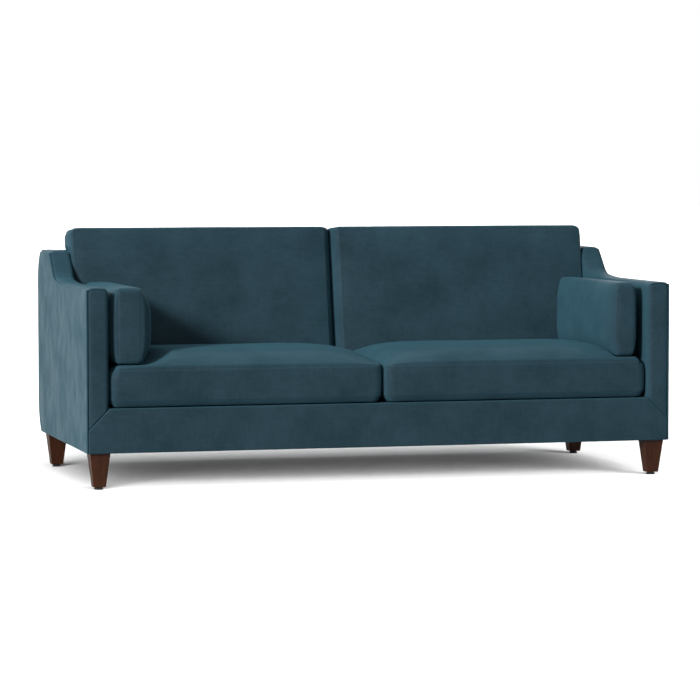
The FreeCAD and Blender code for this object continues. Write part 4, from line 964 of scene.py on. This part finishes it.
SEAT_FRONT = 10
SEAT_REAR = 609.2
SEAT_CROWN = 477
LOWER_SEAM = 305
UPPER_SEAM = 414
CUSHION_INNER = 5
CUSHION_OUTER = 983
SEAT_BULGE = (3, 2, 2)
# How far a cushion may reach, beside the sofa's middle and beside the arm
INNER_LIMIT = 0.6
OUTER_LIMIT = 986
FRONT_LIMIT = 2
PILLOW_BOTTOM = 431
PRESSED_TOP = PILLOW_BOTTOM - 1.5
END_ROUND = 45
PILLOW_FRONT = 26
# How far each pillow swings towards the seat's middle, over its depth
PILLOW_TURNS = {"left": 0, "right": 0.035}
DIP_RISE = 52
DIP_DEPTHS = (30, 350)
# Beside each pillow: where its dip starts to rise, and how far the rise takes at the front and at the rear
DIP_FLATS = {"left": 118, "right": 102}
DIP_RUNS = {"left": (240, 70), "right": (50, 45)}


def seat_cushion(side, sign):
    width = CUSHION_OUTER - CUSHION_INNER
    rear_lean = (UPPER_SEAM - DECK) * BACK_LEAN
    length = SEAT_REAR + rear_lean - SEAT_FRONT
    top = (SEAT_CROWN - UPPER_SEAM - SWELL, 300, 2.5)
    bottom = (LOWER_SEAM - DECK - 0.6, 10, 1)
    places, quads, seam = boxed_cushion((width, length, UPPER_SEAM - LOWER_SEAM), counts=(64, 46, 14),
                                        corner=(38, 38), top=top, bottom=bottom, bulge=SEAT_BULGE)
    height = LOWER_SEAM + places[:, 2]
    share = np.clip((height - DECK) / (UPPER_SEAM - DECK), 0, 1)
    rear_share = (places[:, 1] + length / 2) / length
    across = CUSHION_INNER + width / 2 + places[:, 0]
    depth = SEAT_FRONT + (places[:, 1] + length / 2) - rear_share * (1 - share) * rear_lean

    def pressed(x, y):
        """Greatest height under and beside the arm pillow."""
        run = np.interp(y, DIP_DEPTHS, DIP_RUNS[side])
        flat = DIP_FLATS[side] + PILLOW_TURNS[side] * np.clip(y - PILLOW_FRONT, 0, None)
        share = np.clip((CUSHION_OUTER - x - flat) / run, 0, 1)
        return PRESSED_TOP + DIP_RISE * share * share * (3 - 2 * share)

    def limits(spots):
        x = np.clip(spots[:, 0] * sign, INNER_LIMIT, OUTER_LIMIT)
        spots[:, 0] = x * sign
        spots[:, 2] = np.clip(np.minimum(spots[:, 2], pressed(x, spots[:, 1])), DECK + 0.4, None)
        lean = (np.clip(spots[:, 2], None, UPPER_SEAM) - DECK) * BACK_LEAN
        spots[:, 1] = np.clip(spots[:, 1], FRONT_LIMIT, SEAT_REAR + lean)
        return spots

    height = np.minimum(height, pressed(across, depth))
    end_run = across - (CUSHION_OUTER + SEAT_BULGE[1] - END_ROUND)
    end_rise = height - (PRESSED_TOP - END_ROUND)
    at_end = (end_run > 0) & (end_rise > 0)
    pull = np.where(at_end, np.maximum(end_run, end_rise) / np.hypot(end_run, end_rise), 1) - 1
    across = across + end_run * pull
    height = height + end_rise * pull
    cushion("seat_cushion", side, np.stack((across * sign, depth, height), 1), quads, seam,
            seed=11 + sign, limits=limits, fill=0.9, filling="core")


for side, sign in SIDES.items():
    seat_cushion(side, sign)


# Back cushions: boxed velvet covers over loose fibre, leaning on the inside back and standing above it.
# The front is plump with soft round edges; the rear lies flat against the back.

BACK_CUSHION_FOOT = 780
BACK_CUSHION_BASE = DECK + 0.5
# Above the arm's rear end, a back cushion bulges out over it
OVER_ARM = 14


def back_cushion(side, sign):
    first, last = 24, 984
    length, rear_seam, front_seam = 590, 15, 143
    places, quads, seam = boxed_cushion(
        (last - first, length, front_seam - rear_seam), counts=(64, 44, 14), corner=(12, 24),
        top=(18, 270, 2.2), bottom=(rear_seam, 40, 2), bulge=(27, 13, 8))
    across = (first + last) / 2 + places[:, 0]
    up = places[:, 1] + length / 2
    forward = places[:, 2] + rear_seam
    cosine, sine = (math.cos(math.atan(BACK_LEAN)), math.sin(math.atan(BACK_LEAN)))
    depth = BACK_CUSHION_FOOT + up * sine - forward * cosine
    height = BACK_CUSHION_BASE + up * cosine + forward * sine

    def limits(spots):
        over_arm = np.clip((spots[:, 2] - REAR_HEIGHT - 3) / 20, 0, 1)
        spots[:, 0] = np.clip(spots[:, 0] * sign, INNER_LIMIT, OUTER_LIMIT + OVER_ARM * over_arm) * sign
        lean = (spots[:, 2] - DECK) * BACK_LEAN
        spots[:, 1] = np.minimum(spots[:, 1], BACK_CUSHION_FOOT + lean)
        least_height = BACK_CUSHION_BASE + (BACK_CUSHION_FOOT - spots[:, 1]) * BACK_LEAN
        spots[:, 2] = np.maximum(spots[:, 2], least_height)
        return spots

    cushion("back_cushion", side, np.stack((across * sign, depth, height), 1), quads, seam,
            seed=21 + sign, limits=limits, fill=0.7, filling="fill")


for side, sign in SIDES.items():
    back_cushion(side, sign)


# Arm pillows: small boxed velvet cushions over loose fibre, standing on the seat against each arm.
# Both broad faces are crowned, and the boxing runs all round between two plain seams.

PILLOW_LENGTH = 594
PILLOW_TOP = 700
PILLOW_INNER_LIMIT = 814
PILLOW_OUTER_LIMIT = 984.5
# Middle, boxing and crowns towards the arm and the seat: the left pillow is pushed up against its arm and
# bulges, and the right one stands clear
PILLOW_FORMS = {"left": (909.5, 76, (50, 90, 1.8), (50, 90, 1.8)),
                "right": (911, 58, (28, 60, 1.5), (32, 70, 1.5))}


def arm_pillow(side, sign):
    length = PILLOW_LENGTH - SWELL
    tall = PILLOW_TOP - PILLOW_BOTTOM - SWELL
    middle, boxing, arm_crown, seat_crown = PILLOW_FORMS[side]
    places, quads, seam = boxed_cushion(
        (length, tall, boxing), counts=(50, 30, 10), corner=(20, 20), top=arm_crown, bottom=seat_crown,
        bulge=(2, 2, 2), fullness=0.03)
    depth = PILLOW_FRONT + PILLOW_LENGTH / 2 + places[:, 0]
    height = (PILLOW_BOTTOM + PILLOW_TOP) / 2 + places[:, 1]
    across = middle + places[:, 2] - boxing / 2 - PILLOW_TURNS[side] * (depth - PILLOW_FRONT)

    def limits(spots):
        spots[:, 0] = np.clip(spots[:, 0] * sign, PILLOW_INNER_LIMIT, PILLOW_OUTER_LIMIT) * sign
        spots[:, 2] = np.maximum(spots[:, 2], PILLOW_BOTTOM)
        return spots

    cushion("arm_pillow", side, np.stack((across * sign, depth, height), 1), quads, seam,
            seed=31 + sign, limits=limits, fill=0.8, filling="fill")


for side, sign in SIDES.items():
    arm_pillow(side, sign)


# Zips: a polyester coil on woven tape, sewn into the hidden boxing of each seat and back cushion.
# The sliders are die-cast metal, with the slightly clouded shine of a tumbled casting.

ZIP_START = 93.5
ZIP_LENGTH = 800
ZIP_HEIGHT = 350
ZIP_OFFSET = 62
COIL_OUT = 1.9
# Real tape threads are 0.3 mm wide and coil turns 1.3 mm apart, too fine to show, so they are drawn 2 mm wide
# and 2.6 mm apart.
zip_tape = plain_weave("woven_zip_tape", "#24363F", "#141F25", thread=0.002)
zip_coil = moulded_plastic("polyester_coil", "#1B2A31", grain=0.0008)
# Across the tape from its middle, and out from the cushion
TAPE_PROFILE = [(-12, 0.1), (-11.7, 0.9), (-10, 1.1), (-4, 1.2), (-2.7, 1.4), (-2, 1), (2, 1), (2.7, 1.4),
                (4, 1.2), (10, 1.1), (11.7, 0.9), (12, 0.1)]


def cushion_zip(kind, side, sign, place, across, out):
    """The tape and coil of one cushion. across and out are directions in the sofa's frame."""
    along = np.linspace(ZIP_START, ZIP_START + ZIP_LENGTH, 60) * sign
    profile = np.array(TAPE_PROFILE)
    section = place + profile[:, :1] * across + profile[:, 1:] * out
    grid = swept(along[:, None], section[:, 1:])
    tape = sewn_piece(f"{kind}_zip_tape_{side}", [grid], (0, *(9 * out[1:])), zip_tape, shell=0.8)
    ends = [place + COIL_OUT * out + (end, 0, 0) for end in along[[0, -1]]]
    coil = bar_row(f"{kind}_zip_coil_{side}", [in_metres(np.array(ends))], zip_coil,
                   Spacing=0.0026, Length=0.004, Thickness=0.0015, Turn=math.pi / 2)
    for piece in (tape, coil):
        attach(piece, f"{kind}_cushion_{side}")
    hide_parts(f"{kind}_cushion_zip_{side}")


lean = math.atan(BACK_LEAN)
up_face = np.array((0, math.sin(lean), math.cos(lean)))
away = np.array((0, math.cos(lean), -math.sin(lean)))
for side, sign in SIDES.items():
    seat_place = np.array((0, SEAT_REAR + (ZIP_HEIGHT - DECK) * BACK_LEAN, ZIP_HEIGHT))
    cushion_zip("seat", side, sign, seat_place, up_face, away)
    back_place = np.array((0, BACK_CUSHION_FOOT, BACK_CUSHION_BASE)) - ZIP_OFFSET * away
    cushion_zip("back", side, sign, back_place, away, -up_face)
dress(plated_steel("die_cast_slider", "#8E9092", "#74777A", patch=0.004, roughness=0.3),
      *[f"{kind}_cushion_zip_slider_{side}" for kind in ("seat", "back") for side in SIDES])


# Studio: a white floor and surround, a faint sky, a key lamp from the front left, a broad lamp above it, and
# a low lamp at the right rear, which only the back and the right side face.
# The floor has far lamps of its own, so that it stays white to the camera and keeps the sofa's soft shadow.

scene = bpy.context.scene
scene.view_settings.view_transform = "Standard"
SKY_LEVEL = 0.1
LAMP_DISTANCE = 20
FLOOR_MIRRORED = 0.55
REACH = 60


def seen_rays(tree, mirror_level):
    """1 for what the camera sees, a level for what a mirror or glass shows, and 0 for light that bounces."""
    rays = add_node(tree, "ShaderNodeLightPath").node.outputs
    mirrored = add_node(tree, "ShaderNodeMath", {0: rays["Is Glossy Ray"], 1: rays["Is Transmission Ray"]},
                        operation="MAXIMUM")
    dimmed = add_node(tree, "ShaderNodeMath", {0: mirrored, 1: mirror_level}, operation="MULTIPLY")
    return add_node(tree, "ShaderNodeMath", {0: rays["Is Camera Ray"], 1: dimmed},
                    operation="MAXIMUM")


world = bpy.data.worlds.new("white_studio")
scene.world = world
world.use_nodes = True
sky = world.node_tree
surround = sky.nodes["Background"]
level = add_node(sky, "ShaderNodeMapRange",
                 {"Value": seen_rays(sky, 1.0), "To Min": SKY_LEVEL, "To Max": 1.0})
sky.links.new(level, surround.inputs["Strength"])
surround.inputs["Color"].default_value = linear("#FFFFFF")

floor_mesh = bpy.data.meshes.new("studio_floor")
floor_mesh.from_pydata([(-REACH, -REACH, 0), (REACH, -REACH, 0), (REACH, REACH, 0), (-REACH, REACH, 0)], [],
                       [(0, 1, 2, 3)])
floor = new_piece("studio_floor", floor_mesh)
floor_white, tree, shader = new_material("matt_white_floor", roughness=0.9, specular_ior_level=0.1)[:3]
show_pattern(tree, shader, seen_rays(tree, FLOOR_MIRRORED), "#525252", "#FFFFFF")
floor_mesh.materials.append(floor_white)


def lamp(name, strength, towards, angle, on_floor):
    """A lamp whose light travels in a direction, with a soft edge of an angle in degrees. A floor lamp is
    far off and lights the floor alone. Any other is a round panel at the lamp distance and leaves the floor
    out."""
    light = bpy.data.lights.new(name, "SUN" if on_floor else "AREA")
    thing = bpy.data.objects.new(name, light)
    if on_floor:
        light.energy = strength
        light.angle = math.radians(angle)
    else:
        light.energy = strength * math.pi * LAMP_DISTANCE ** 2
        light.shape = "DISK"
        light.size = 2 * LAMP_DISTANCE * math.tan(math.radians(angle) / 2)
    thing.location = -LAMP_DISTANCE * Vector(towards).normalized()
    thing.rotation_mode = "QUATERNION"
    thing.rotation_quaternion = Vector(towards).to_track_quat("-Z", "Y")
    scene.collection.objects.link(thing)
    lit = bpy.data.collections.new(f"{name}_receivers")
    lit.objects.link(floor)
    thing.light_linking.receiver_collection = lit
    lit.collection_objects[0].light_linking.link_state = "INCLUDE" if on_floor else "EXCLUDE"


lamp("key_lamp", 2.65, (0.68, 0.63, -0.345), angle=10, on_floor=False)
lamp("upper_lamp", 0.5, (0.42, 0.48, -0.77), angle=50, on_floor=False)
lamp("rear_lamp", 1.0, (-0.8, -0.6, -0.1), angle=20, on_floor=False)
lamp("floor_left_lamp", 5.9, (0.45, 0.86, -0.24), angle=32, on_floor=True)
lamp("floor_right_lamp", 4.3, (-0.45, 0.86, -0.24), angle=32, on_floor=True)
lamp("floor_top_lamp", 3.35, (0, 0.45, -0.89), angle=70, on_floor=True)


# Camera: a long lens, a little above the sofa's back and turned to its left front corner.
# Its place, tilt and turn were worked out from the sofa's own straight edges.

CAMERA_TILT = 3.478
CAMERA_TURN = 15.206
camera_data = bpy.data.cameras.new("camera")
camera_data.lens = 160.45
camera_data.sensor_width = 36
camera = bpy.data.objects.new("camera", camera_data)
camera.location = (-2.99798, -11.05703, 1.13768)
camera.rotation_euler = (math.radians(90 - CAMERA_TILT), 0, math.radians(-CAMERA_TURN))
scene.collection.objects.link(camera)
scene.camera = camera
